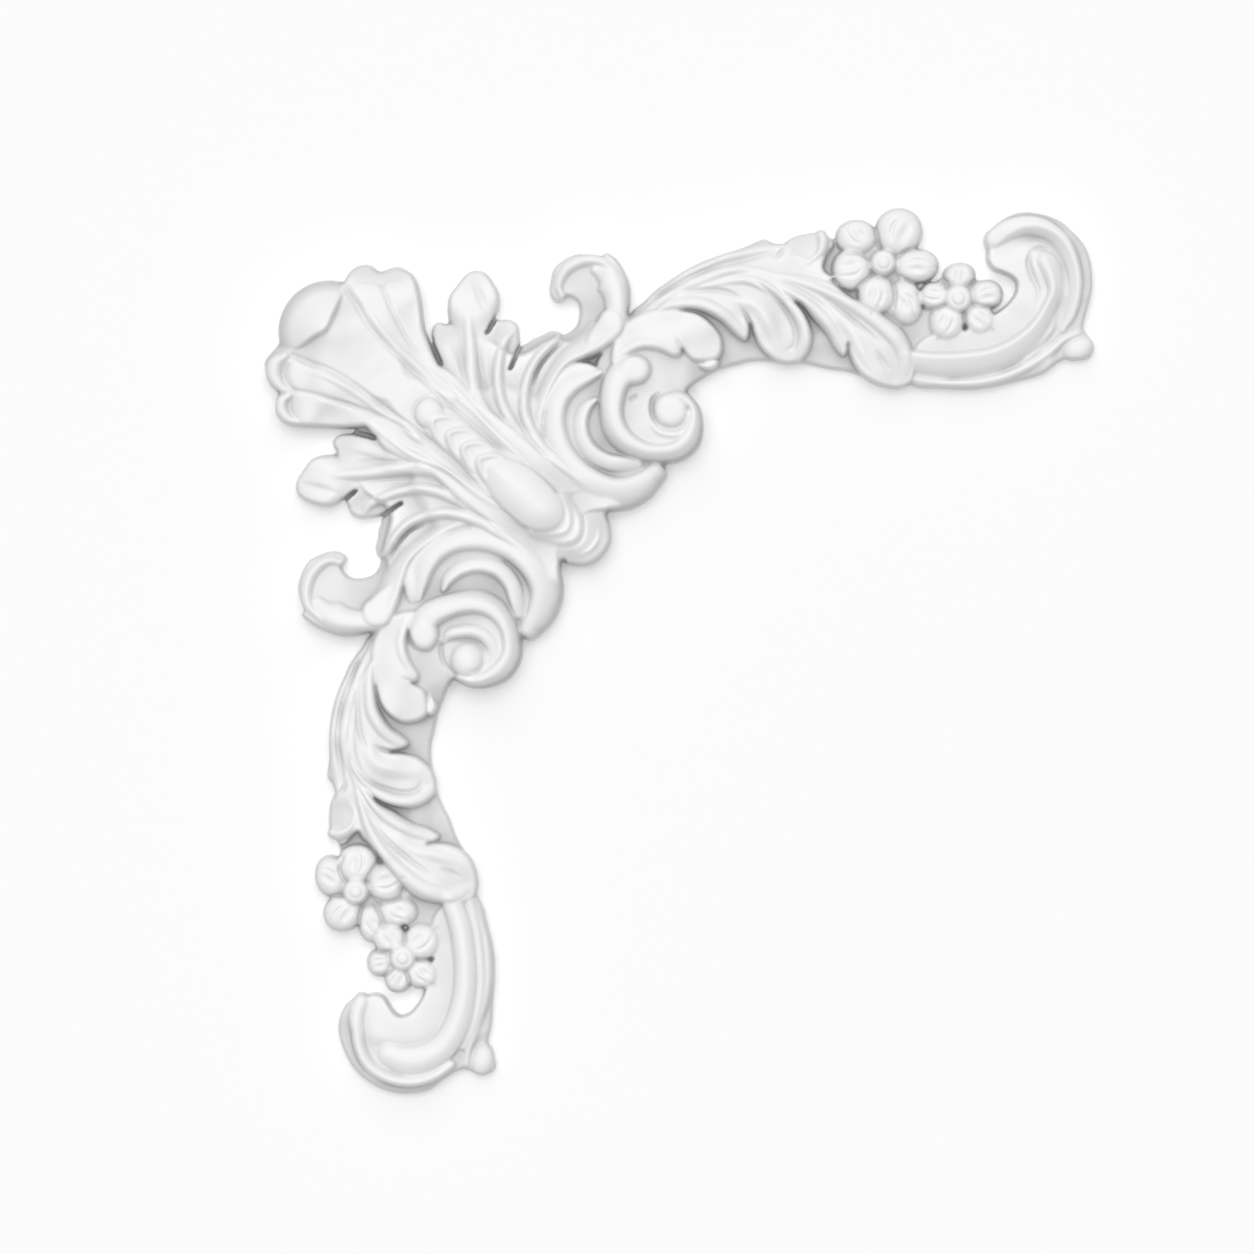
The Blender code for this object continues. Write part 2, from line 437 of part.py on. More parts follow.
def hook(r):
    """The curled end of the stem: a dished basin behind a rolled rim, and a bright roll beside it."""
    r.sheet([(23.2, 42.3), (26, 43.4), (28.3, 45), (29.5, 47.8), (29.9, 51), (28.6, 53.4), (26.2, 54.3),
             (23.9, 52.6), (21.8, 53.7), (20.8, 56.7), (21.7, 60.6), (23.1, 64.1), (27, 66.8), (31, 67.9),
             (36, 67.2), (38.5, 66.6), (40.2, 67.5), (43.2, 65.1), (45.3, 61.3), (46.8, 56.2), (46.5, 51),
             (45.2, 47.6), (44, 41), (38, 36), (30, 34), (24, 36), (22, 40)],
            [(28, 59, 6.4), (26, 56, 7), (27, 64, 7.6), (33, 60, 8.6), (31, 50, 4.6), (33, 54, 7.6),
             (36, 54, 9.2), (34, 47, 7), (26, 42, 3.6), (31, 42, 7.6), (28, 38, 7.4), (36, 43, 10),
             (42, 58, 10), (42, 48, 10)], 1.1, -1.8, ROUND, reach=3.4)
    r.crest([(24.8, 54.4), (23.8, 57.5), (25, 61), (28, 64), (33, 65.4), (38, 64.6), (42, 61)],
            (1.2, 1.4, 1.8, 2, 1.8), (1.2, 1.6, 2, 1.8, 1.4), (8.8, 9.6, 10.4, 11.2, 12),
            ((5, 4.6, 5, 6), (6.6, 6.8, 7.4, 9)))
    r.crest([(42.6, 44), (42.8, 49), (42.9, 53), (42.2, 57.4), (40, 60.6), (36.4, 62.2)],
            (4.4, 4.6, 5, 6, 5.4, 2), (2.6, 3, 3.2, 3.4, 3, 1.8), (13.6, 13.8, 13.6, 13.2, 12.2, 10.4),
            ((11, 10, 9.6, 9.6, 9.4, 8.6), (7, 6, 6, 6.4, 7, 7)), (CUSHION, ROUND))


def outer_scroll(r):
    """The outer C of the double scroll, from the tip beside the main volute to the round end below it."""
    r.crest([(35.2, 29.2), (30.4, 27.4), (25.8, 25.2), (22.2, 21.8), (20.3, 17), (20, 11.4), (21.6, 5.2),
             (25.6, -0.6), (31, -4.8), (37.4, -7.1), (44, -6.2), (49.4, -3.7)],
            (0.8, 1.6, 2, 2.2, 2.4, 2.8, 3, 3, 2.8, 2.6, 2.6, 3),
            (1, 3.4, 4.4, 4.4, 4.2, 4.8, 5.8, 7, 8.4, 8.4, 7, 4.4),
            (12, 13.4, 14.2, 14.6, 15, 15.2, 15.2, 15.2, 15, 14.2, 12.8, 11),
            ((9, 10, 10.6, 10.8, 10.8, 10.6, 10, 9), (10.6, 11, 12, 12.6, 13, 13.2, 13, 11.5, 8, 6, 6, 6)),
            (FULL, ARCH))
    r.swell([(12.6, 0.6), (18, -5), (24, -9)], (0.7, 0.9, 0.7), (0, 0.6, 0))


def inner_scroll(r):
    """The inner C of the double scroll."""
    r.crest([(32.6, 20.6), (30, 18.6), (28.2, 14.4), (28.2, 9.4), (30.6, 4.8), (35, 1.8), (40, 0.6),
             (44, -0.4)], (0.8, 1.5, 1.6, 1.8, 1.8, 1.7, 1.6, 1.4), (1.2, 2.6, 3.6, 4, 4.2, 4, 3.6, 3),
            (12.8, 13.6, 14, 14, 13.6, 12.8, 12, 11), ((9.6, 9.6, 9, 9), (10.6, 10.8, 10.8, 10, 9)),
            (TUBE, ARCH))


def main_volute(r):
    """The large volute with its eye. The left arm's has one whorl more."""
    r.crest([(46.2, 29.2), (42.4, 28.6), (39.6, 25.6), (38.2, 21), (37.8, 16), (38.7, 11), (41.8, 6.6),
             (46.6, 3.8), (51.6, 3), (56.4, 3.4), (60.4, 6), (62.9, 10.4), (63.4, 15), (61.6, 19)],
            (4.6, 4.6, 4.2, 3.6, 3, 3, 2.8, 2.2, 1.7, 1.8, 2, 1.8, 1.6, 1.2),
            (4.6, 4.6, 4.3, 4.3, 4.3, 4.7, 4.7, 4.6, 4.7, 4.9, 4.9, 3.6, 2.4, 1.6),
            (15.4, 16, 16.4, 16.6, 16.8, 16.8, 16.6, 16.2, 15.8, 15.6, 15.4, 15.2, 14.8, 14),
            ((11.6, 11.8, 12, 12.4, 12.6, 13, 13, 13), (13, 13, 13.4, 13.4, 12, 8, 5, 4, 4, 4, 4, 5, 6)),
            (FLAT, FALL))
    r.dome((45.6, 29.2), (5.3, 4.7), 0, 16.3, 13.8, FLAT, blend=0.8)
    if r.left_arm:
        left_whorl(r)
    else:
        r.crest([(49.4, 12.4), (51, 9.4), (54.6, 7.6), (58.6, 7.8), (61.4, 10.6), (62, 14)],
                (0.8, 1.2, 1.2, 1), (0.6, 1, 1, 0.8), (13, 14, 14.4, 14.6, 14.4, 14),
                ((12.6, 12.6), (12.6, 13)), blend=0.2)
        r.dome((56.2, 15.4), (5.4, 5.4), 0, 15.6, 14, FLAT, blend=0.15)
        r.crest([(61.8, 18), (59.4, 19.8), (56, 20.4)], (1.3, 1.2, 0.6), (1.2, 1.2, 0.6), (14.4, 14.6, 14),
                ((12.4, 12.4), (11, 11)))
        r.cut([(53.4, 21.2), (50.8, 19.4), (50.1, 16), (50.6, 12.8), (52, 10.6)], (0.5, 0.9, 1, 0.8, 0.4),
                (0.4, 2.6, 3.2, 2.2, 0.2))
        r.cut([(43.8, 19.8), (45.4, 20.7)], (0.8,), (1.3,))


def left_whorl(r):
    """The inner whorl and the ball of the left arm's volute, drawn at their own places."""
    r.shifted = False
    r.crest([(51.6, 22.6), (49.7, 20.2), (49, 16.6), (49.3, 12.4), (51.6, 8.6), (55.6, 6.6), (60, 7.6)],
            (1, 1.9, 2.2, 2.2, 2.2, 1.4), (1, 1.8, 2, 2, 1.8, 1), (13, 14.6, 15.2, 15.2, 14.8, 13.8, 13),
            ((13, 12.8, 12.8), (13, 12.6, 12.6)), (CUSHION, ARCH), blend=0.2)
    r.dome((58.6, 15.5), (5.4, 5.2), 0, 16.2, 13.6, CUSHION, blend=0.15)
    r.cut([(57, 10.4), (60.6, 11), (62.4, 13.4), (61.4, 16)], (0.6, 0.8, 0.8, 0.5), (0.3, 0.9, 0.9, 0))
    r.cut([(52, 20.6), (51.7, 16), (52.8, 12), (55, 9.9), (57.4, 9.2)], (0.6, 1, 1, 1, 0.6),
          (0.6, 1.8, 2.2, 1.8, 0.3))
    r.cut([(46.4, 33.3), (50, 33.2), (53.4, 31.4)], (0.5, 0.9, 0.6), (0.4, 3.4, 1.4))
    r.cut([(50.4, 22), (53.6, 23.4), (58, 23.2), (61.8, 20.9)], (0.8, 1, 1, 0.7), (0.8, 1.8, 1.6, 0.4))
    r.shifted = True


def helmet(r):
    """The first lobe of the arm's leaf, domed like a helmet over the volute."""
    r.sheet([(38.5, 31.8), (42, 32.6), (46, 34.8), (50, 35.4), (54.4, 34.4), (58.7, 32.2), (60.9, 32.8),
             (61.6, 34.2), (62.2, 33.4), (64, 31), (66.4, 30), (70, 29.8), (72.8, 30.6), (74.3, 33.5),
             (74.1, 37.7), (71.2, 42.2), (67.4, 45.4), (62, 47), (57, 48), (50, 47), (44, 44), (40, 39)],
            [(44, 42, 12), (52, 45, 12), (60, 45.6, 12), (67, 41, 13.6), (72, 33, 11), (45, 37.4, 14.2),
             (53, 40, 14.8), (60, 40, 14.6), (53, 36.4, 14), (66, 34, 12.6)], 1.2, -2, ROUND, reach=3.4)
    r.swell([(40, 33.8), (44, 36), (49, 37.4), (54, 36.4), (57.8, 34.4)], (1, 1.5, 1.5, 1),
            (0, 0.9, 0.9, 0), TUBE)
    r.cut([(59.8, 38.4), (60.4, 36.4), (61.4, 34.2)], (0.5, 0.7, 0.8), (0, 1, 1.8))
    r.cut([(61.6, 34.6), (61.7, 33.4), (61.6, 32.6)], (0.4, 0.6, 0.5), (0.6, 1.6, 0.6))
    r.sheet([(66, 29.2), (69, 30), (72.2, 30.2), (72.9, 29.2), (71.6, 27.6), (69.5, 27), (67.2, 27.8)],
            [(69.4, 28.8, 10.6)], 1, -1.6, ROUND)


def upper_leaf(r):
    """The long upper edge of the arm's leaf, and the curl at its end."""
    r.sheet([(44, 44), (46.6, 48.1), (50.3, 50.7), (55, 54.5), (59, 56.7), (64, 59.4), (70, 61.9),
             (77, 63.8), (84, 65.4), (87.7, 66.7), (91, 67.5), (93.3, 66.1), (96.5, 65.5), (99.4, 67.1),
             (103, 67.9), (108, 68), (112.3, 65.5), (112.6, 63), (110, 60), (108.8, 55.4), (112, 53),
             (104, 50), (90, 50), (70, 48), (54, 46)],
            [(48, 50, 6.4), (58, 56.4, 6.4), (70, 61.6, 6), (84, 65, 6), (91, 66.6, 6), (103, 67.4, 6.4),
             (110, 66, 6.4), (51, 48, 10.4), (62, 54.4, 11), (68, 57, 11.2), (73, 58.6, 11.2),
             (78, 59.4, 11.2), (84, 61, 11), (90, 62.6, 10.6), (103, 62.6, 9), (106, 56, 10.6),
             (96, 60, 10.6)], 1.0, -1.6, ROUND, reach=3)
    r.swell([(48, 48.4), (54, 52.8), (62, 57), (70, 60.4), (80, 62.9), (90, 64), (97, 64)],
            (0.8, 1.3, 1.4, 1.3, 1), (0.2, 1.2, 1.4, 1.2, 0.4), TUBE)
    r.cut([(50, 49), (58, 53.4), (68, 57.6), (76, 59.8), (84, 61), (92, 61.2)], (0.8, 1.3, 1.4, 1.3, 0.9),
            (0, 0.9, 1.1, 0.9, 0.2))
    r.swell([(50, 47.2), (58, 51.8), (66, 55.2), (74, 57.4), (81, 58.2), (88, 57.2)], (1, 1.6, 1.8, 1.6, 1),
            (0.2, 1.4, 1.8, 1.8, 0.4), TUBE)
    r.crest([(99, 57.6), (104, 59), (107.4, 61.6), (108.6, 65), (108.4, 67)], (1, 1.2, 1.3, 1.2),
            (1.4, 2.4, 2.8, 2.4), (10, 10.8, 10.8, 10.2, 9), ((8, 7.4, 7), (7.6, 6, 5)), (COVE, ROUND))
    r.cut([(92.6, 60.4), (95.4, 62), (97.8, 65)], (0.7, 1, 0.9), (0.2, 1.5, 0.6))


def lobe_a(r):
    """The arm leaf's second lobe: a small tip, then a long tongue with a rolled rim."""
    r.sheet([(52, 45), (57, 47), (63, 47.2), (69, 45.6), (74.6, 42), (78.6, 37.6), (81.4, 35.5),
             (83.2, 36.8), (83.9, 40), (84.6, 37.2), (86.3, 33), (89.5, 29.4), (93, 27.2), (96.7, 26.8),
             (99.5, 27.7), (102, 30.8), (103.3, 34.6), (102.9, 38.4), (101.8, 42), (99.9, 45.4), (96.4, 49),
             (92.2, 52.2), (86.6, 57.8), (80, 55.6), (70, 54.4), (60, 52)],
            [(60, 50, 12), (68, 51, 12), (76, 50, 11.8), (84, 50, 11.6), (74, 46, 12), (80, 40, 10.6),
             (88, 42, 11), (91, 33, 9.6), (96, 40, 9.6), (101, 36, 9.4), (97, 28, 8)], 1.1, -1.8, ROUND,
            reach=3.4)
    r.swell([(52, 46), (58, 48.2), (64, 48.8), (70, 47.8), (75.4, 44.4), (79.4, 40.2), (81.8, 37.2)],
            (1.2, 1.8, 2, 2, 1.8, 1.2), (0.2, 1.4, 2, 2, 1.4, 0.2), TUBE)
    r.swell([(66, 53.6), (76, 55), (84, 54.6), (90.4, 51.4), (95.8, 47), (99.4, 42.2), (101, 37.4),
             (100.6, 33), (98.6, 30), (96, 29)], (0.9, 1.4, 1.6, 1.9, 2, 2, 1.4),
            (0.2, 1.2, 1.8, 2.4, 2.4, 1.6, 0), TUBE)
    r.cut([(62, 52.4), (70, 52.6), (77, 51.4), (83, 48)], (0.7, 1.1, 1.1, 0.6), (0, 1.4, 1.4, 0.1))
    r.cut([(84, 56), (89.6, 51.2), (93.8, 46.8), (96.6, 41.6), (98, 37), (97.4, 32.8), (95, 31.4)],
            (0.7, 1, 1.1, 1, 0.8), (0.2, 1.6, 1.8, 1.6, 0.2))
    r.swell([(78, 49.4), (86, 46), (89.6, 40.6), (91.6, 33)], (2, 3, 3.4, 2.4), (0, 1.2, 1.6, 0.4))
    r.cut([(80.8, 46.4), (82.6, 43.6), (83.8, 40.4)], (0.5, 0.9, 1), (0, 2, 4), floor=4.4)


def lobe_b(r):
    """The arm leaf's last lobe, which crosses the band of the end scroll."""
    r.sheet([(86, 58.4), (95, 56), (105, 53.4), (111, 51), (117.6, 46), (122.2, 43.3), (126.9, 39.5),
             (130.8, 36), (133.3, 32.2), (134.9, 27.2), (135.3, 23.4), (134, 18.4), (131.6, 16.3),
             (129, 15.9), (125.8, 16.5), (121.8, 18.1), (118.7, 20.4), (115.9, 24.3), (114.5, 28.5),
             (114.4, 31.6), (113.9, 28.8), (112.2, 28), (109.8, 31), (107.6, 35.6), (103.6, 40.6),
             (99.6, 46), (92, 51)],
            [(92, 55, 11.6), (102, 50, 12), (112, 46, 11.8), (108, 40, 11), (111.4, 33, 9.6), (121, 38, 11),
             (119, 26, 10), (122, 22, 9.6), (129, 18, 7.6), (133, 26, 9), (127, 33, 10.4)], 1.1, -1.8,
            ROUND, reach=3.4)
    r.swell([(94, 51.6), (99, 48.6), (104.6, 43.6), (108.8, 38.2), (111.6, 33), (113, 29.4)],
            (1, 1.6, 1.7, 1.5, 0.8), (0.2, 1.4, 1.6, 1.2, 0.1), TUBE)
    r.swell([(96, 54.4), (104, 51), (112, 46.8), (119, 42), (125.4, 36.6), (130.4, 30.6), (132, 25),
             (130.6, 19.6)], (0.9, 1.4, 1.8, 2.3, 2.5, 2.3, 1.6), (0.2, 1.4, 1.9, 2, 2, 1.5, 0.3), TUBE)
    r.cut([(94, 53.4), (99, 50.2), (104, 47), (109, 42.8)], (0.7, 1, 1, 0.6), (0, 1.3, 1.3, 0))
    r.cut([(106, 48.2), (112, 43.2), (118, 37.4), (124.6, 30.8)], (0.7, 1, 1, 0.6), (0, 1.6, 1.6, 0))
    r.cut([(122.6, 29), (124.8, 25), (127.2, 21.2)], (1, 1.5, 1), (0, 1, 0))
    r.swell([(110, 42), (115, 36), (118.4, 29), (122, 22)], (1.8, 2.6, 2.8, 2), (0, 1, 1.2, 0.2))


def end_dish(r):
    """The outer rim and the dish of the C-scroll that ends an arm."""
    r.sheet([(161, 57), (160.7, 54.3), (162.3, 51.2), (165.6, 49.5), (168, 48), (169.3, 46.2), (169, 43.3),
             (167.3, 41), (163, 38), (152, 33), (140, 32), (134, 26), (134, 16.8), (143, 14.9), (152, 13.7),
             (160, 14), (168.4, 15.2), (175.5, 16.7), (180, 19.4), (183, 20.7), (185.4, 20.7), (188.6, 20),
             (191.6, 21), (192.9, 24), (192.3, 26.2), (190.4, 29), (190, 31), (191.8, 36.3), (193.7, 41.6),
             (194.3, 47), (194, 52.3), (192.3, 57.2), (189.3, 61.2), (185.2, 65.3), (180, 67.8),
             (174.7, 68.9), (171, 68.6), (167, 67), (163.2, 64.2), (161.4, 60.6)],
            [(140, 21, 6.4), (156, 20, 6.4), (170, 24, 6.4), (140, 29, 7), (156, 29, 7.4), (168, 34, 8),
             (172, 42, 9), (170, 52, 9.4), (164, 57, 9), (165, 63, 7), (172, 67.6, 5), (184, 65, 5),
             (192, 56, 5), (193.4, 46, 5), (190, 34, 5), (184, 57, 8), (186, 44, 7.4), (184, 34, 6.5),
             (188, 24, 4.5), (150, 15, 4.5), (168, 17, 4.5)], 1.0, -1.6, ROUND, reach=3.4)
    r.crest([(133, 19), (140, 17.2), (148, 16.2), (156, 16), (164, 17.2), (172, 20), (178, 23.2),
             (183, 26.8), (188, 28.6)], (0.9, 1.1, 1.2, 1.2), (1.2, 1.6, 1.8, 1.8, 1.6, 1.4, 1.2),
            (6.8, 7.2, 7.4, 7.4, 7.2, 6.8, 6), ((5.4, 5.4, 5.4), (4, 4, 4)))
    r.cut([(136, 20.2), (143, 18.7), (150, 18), (158, 18.3), (166, 20.5), (173, 23.8), (179, 28.2),
             (184, 33)], (0.7, 0.9, 1, 1, 0.8), (0.2, 0.6, 0.7, 0.6, 0.2))
    r.dome((187.4, 24), (5.2, 3.8), 20, 6.4, 4.4, CUSHION)


def end_scroll(r):
    """The bands of the C-scroll that ends an arm."""
    end_dish(r)
    if r.left_arm:
        r.shifted = False
        r.crest([(134, 27.2), (143, 25), (151, 24.4), (158, 24.6), (165, 25.8), (172, 28.2), (177.6, 31.4),
                 (181.6, 35.4), (183.8, 40.6), (183.9, 46), (181.6, 51.2)],
                (3.4, 3.7, 3.8, 3.8, 4, 4.4, 5, 5, 4), (3.4, 3.6, 3.6, 3.8, 4.2, 4.4, 4.8, 5, 3.6),
                (10, 10.6, 10.8, 10.8, 10.8, 10.8, 10.8, 10.6, 10),
                ((7.6, 7.4, 7.4, 7.6, 8), (7.8, 7.8, 7.8, 7.8, 8)), (TUBE, SOFT))
        r.crest([(133, 21.8), (143, 20.2), (152, 19.7), (160, 20), (168, 21.6), (176, 24.6), (181, 27.6)],
                (1.6, 1.8, 1.8, 1.6), (1.6, 1.8, 1.8, 1.6), (7.6, 8, 8, 7.8, 7), ((6.6,), (5.6,)),
                (FULL, FULL))
        r.crest([(164, 58.4), (168.6, 60.6), (173, 61), (178.5, 60.8), (184, 58.6), (188, 54.4),
                 (190.4, 49), (191, 43.2), (189.6, 37.3), (186.6, 32)],
                (3, 2.2, 1.6, 1.6, 1.6, 1.6, 1.6, 1.4), (2.6, 3, 2.6, 2.4, 2.2, 2, 1.6),
                (9.8, 10.4, 10.6, 10.6, 10.4, 10.2, 9.6, 8.6), ((8, 8, 7.6, 7.4), (6, 6, 6, 6)),
                (TUBE, ROUND))
        r.shifted = True
        return
    r.crest([(133, 26.6), (141, 25), (150, 24.3), (158, 24.6), (165, 26.4), (171.5, 30), (175.6, 33.8),
             (178.6, 38), (181.2, 42.8), (181, 48), (179.6, 52.4)],
            (1.4, 1.5, 1.6, 1.6, 1.6, 1.6, 1.6, 1.8, 2.6, 3.2),
            (6, 6.4, 6.6, 6.4, 6, 5, 3.8, 3.2, 3.4, 3.4),
            (9.4, 9.8, 10.2, 10.4, 10.6, 10.6, 10.6, 10.8, 11, 11),
            ((7.6, 7.8, 7.8, 8, 8, 8.4), (6, 6, 6, 6.8, 8)), (TUBE, SLOPE))
    r.crest([(165, 59.6), (169.6, 62.4), (175, 63.8), (181, 62.4), (186, 57.8), (188.7, 50.4),
             (188.8, 42.6), (186.4, 35), (183, 30.4)], (5, 4.4, 3.4, 2.4, 1.8, 1.6, 1.5, 1.2),
            (3, 3.8, 4.4, 4.6, 4.8, 4.8, 4.4, 3.4, 2), (9.8, 10.6, 11, 11, 10.8, 10.4, 9.8, 8.6, 7),
            ((9.4, 9.4, 8.6, 8, 6.6), (5, 5, 5, 5, 5)), (TUBE, SLOPE))
    r.cut([(175.2, 56), (174, 52.4), (174.8, 48), (176.4, 43), (175, 38)], (0.6, 1.2, 1.4, 1, 0.6),
          (0.6, 1.8, 1.8, 1, 0))
    r.cut([(175.2, 56), (178.6, 56.8), (182.4, 54)], (0.6, 1, 0.8), (0.6, 1.6, 0.8))
    r.cut([(170, 61.4), (175.6, 60.6), (180.8, 57.8), (184, 52.8), (185.6, 47.2), (185.4, 42)],
            (0.4, 1.1, 1.3, 1.1, 0.8, 0.4), (0, 1, 1.4, 1.2, 0.8, 0))


FLOWERS_TOP = (
    ((127.8, 56.4), 3.7, 12.6,
     ((120, 65.5, 6, 5, 9.5), (133.8, 66, 7, 7, 10), (138.5, 54.5, 6.5, 5, 10.4),
      (134, 43.5, 4.7, 6.8, 9.6), (124.8, 46.5, 5.5, 5.6, 10.4), (117.5, 55, 5.5, 6, 11)),
     (((133, 57.8), (135, 59.4), (138, 60.2)), ((132, 52.4), (135.6, 50), (139.4, 48.4)),
      ((124.4, 53), (121, 51), (118, 48.6)), ((130, 50.6), (130.8, 46), (130, 41.6)),
      ((123.6, 57.4), (120.6, 59.8), (116, 60.6)), ((126, 69), (126.8, 64.6), (127.4, 60.4)))),
    ((150.7, 43), 4.0, 11.4,
     ((151.8, 50.5, 4.7, 3.5, 8.4), (160, 43.5, 4.8, 4.3, 9), (143, 44.5, 4, 4.1, 9.6),
      (146.5, 35.8, 5, 5, 9.8), (157, 35.8, 4.4, 4.3, 9.4)),
     (((147.6, 46.6), (147.4, 49), (145.4, 50.2)), ((154.4, 46), (156, 48), (158, 49.4)),
      ((152, 39.2), (152.2, 36), (152, 32.6)), ((155.4, 40.6), (159.4, 39.6), (163.4, 39)),
      ((147.4, 41.4), (144, 40.6), (140.6, 40.4)))),
)
FLOWERS_LEFT = (
    ((128.8, 57.3), 3.7, 12.6,
     ((123.3, 65, 6, 4.5, 9.5), (135.5, 62.3, 5.3, 5.6, 10), (139.5, 53.5, 5.5, 3.7, 9.6),
      (136.7, 45, 4.2, 6, 9.6), (127, 47.7, 6, 5, 10.4), (120, 56, 5.5, 6, 11)),
     (((126.4, 54.4), (123, 52), (119.6, 49.4)), ((131, 52.6), (132.8, 48), (132.4, 43)),
      ((125.4, 60.6), (121.6, 62), (117.4, 60.4)), ((129.6, 66.4), (129.6, 63.6), (130.2, 61.4)),
      ((133.4, 55.4), (136.4, 56.8), (140, 57.4)), ((133.6, 52), (137, 50), (140.4, 49.4)))),
    ((151.3, 44.3), 3.7, 11.4,
     ((152.3, 52, 3.9, 3.4, 8.4), (158, 46.5, 4, 3.8, 9), (157, 38.8, 4.3, 4.8, 9.4),
      (146.8, 38, 5.3, 5.2, 9.8), (144.7, 48, 4.2, 4.9, 9.6)),
     (((152, 41), (152.4, 38), (152.4, 34.6)), ((155, 44.2), (158, 43), (161.4, 42.6)),
      ((148.6, 47.6), (148.8, 50), (148.6, 52.4)), ((154.2, 47.4), (155.6, 49), (156.6, 51)),
      ((147.8, 43.4), (144.4, 43), (141, 43)))),
)


def petal_creases(r, centre, petal, reach):
    """A petal's shallow dish, the bent crease beside it and the notch at its tip."""
    middle = np.array(petal)
    out = (middle - centre) / np.linalg.norm(middle - centre)
    side = np.array([-out[1], out[0]]) * reach
    out = out * reach
    r.cut([middle - 0.5 * out - 0.26 * side, middle + 0.55 * out - 0.26 * side], (0.34 * reach,),
          (0.3, 0.8, 0.3))
    r.cut([middle - 0.6 * out + 0.1 * side, middle + 0.36 * side, middle + 0.85 * out + 0.16 * side],
          (0.4, 0.7, 0.5), (0.3, 1, 0.4))
    r.cut([middle + 0.7 * out, middle + 1.25 * out], (0.5, 0.9), (0, 0.9))


def flowers(r, blooms):
    """Flowers at the end of an arm. Each has its centre, its button's radius and height, its petals with the
    place, radii and height of each, and the folds between the petals. They stand at their own places."""
    r.shifted = False
    for (x, z), radius, top, petals, folds in blooms:
        r.dome((x, z), (8.8, 8.8), 0, 6.2, 4.6, FULL)
        for px, pz, rx, rz, height in petals:
            r.dome((px, pz), (rx + 0.7, rz + 0.7), 0, height, height - 3.6, (3.6, 0.8), square=2.1,
                    blend=0.1)
        for px, pz, rx, rz, height in petals:
            petal_creases(r, (x, z), (px, pz), min(rx, rz))
        for fold in folds:
            r.cut(fold, (0.5, 0.6, 0.6), (1, 3, 2))
        r.dome((x, z), (radius + 0.5, radius + 0.5), 0, top, top - 2.4, CUSHION, blend=0.1)
        turns = np.linspace(0, 2 * math.pi, 9)
        r.cut([(x + 0.6 * radius * math.cos(turn), z + 0.6 * radius * math.sin(turn)) for turn in turns],
              (0.5,), (0.6,))
    r.shifted = True


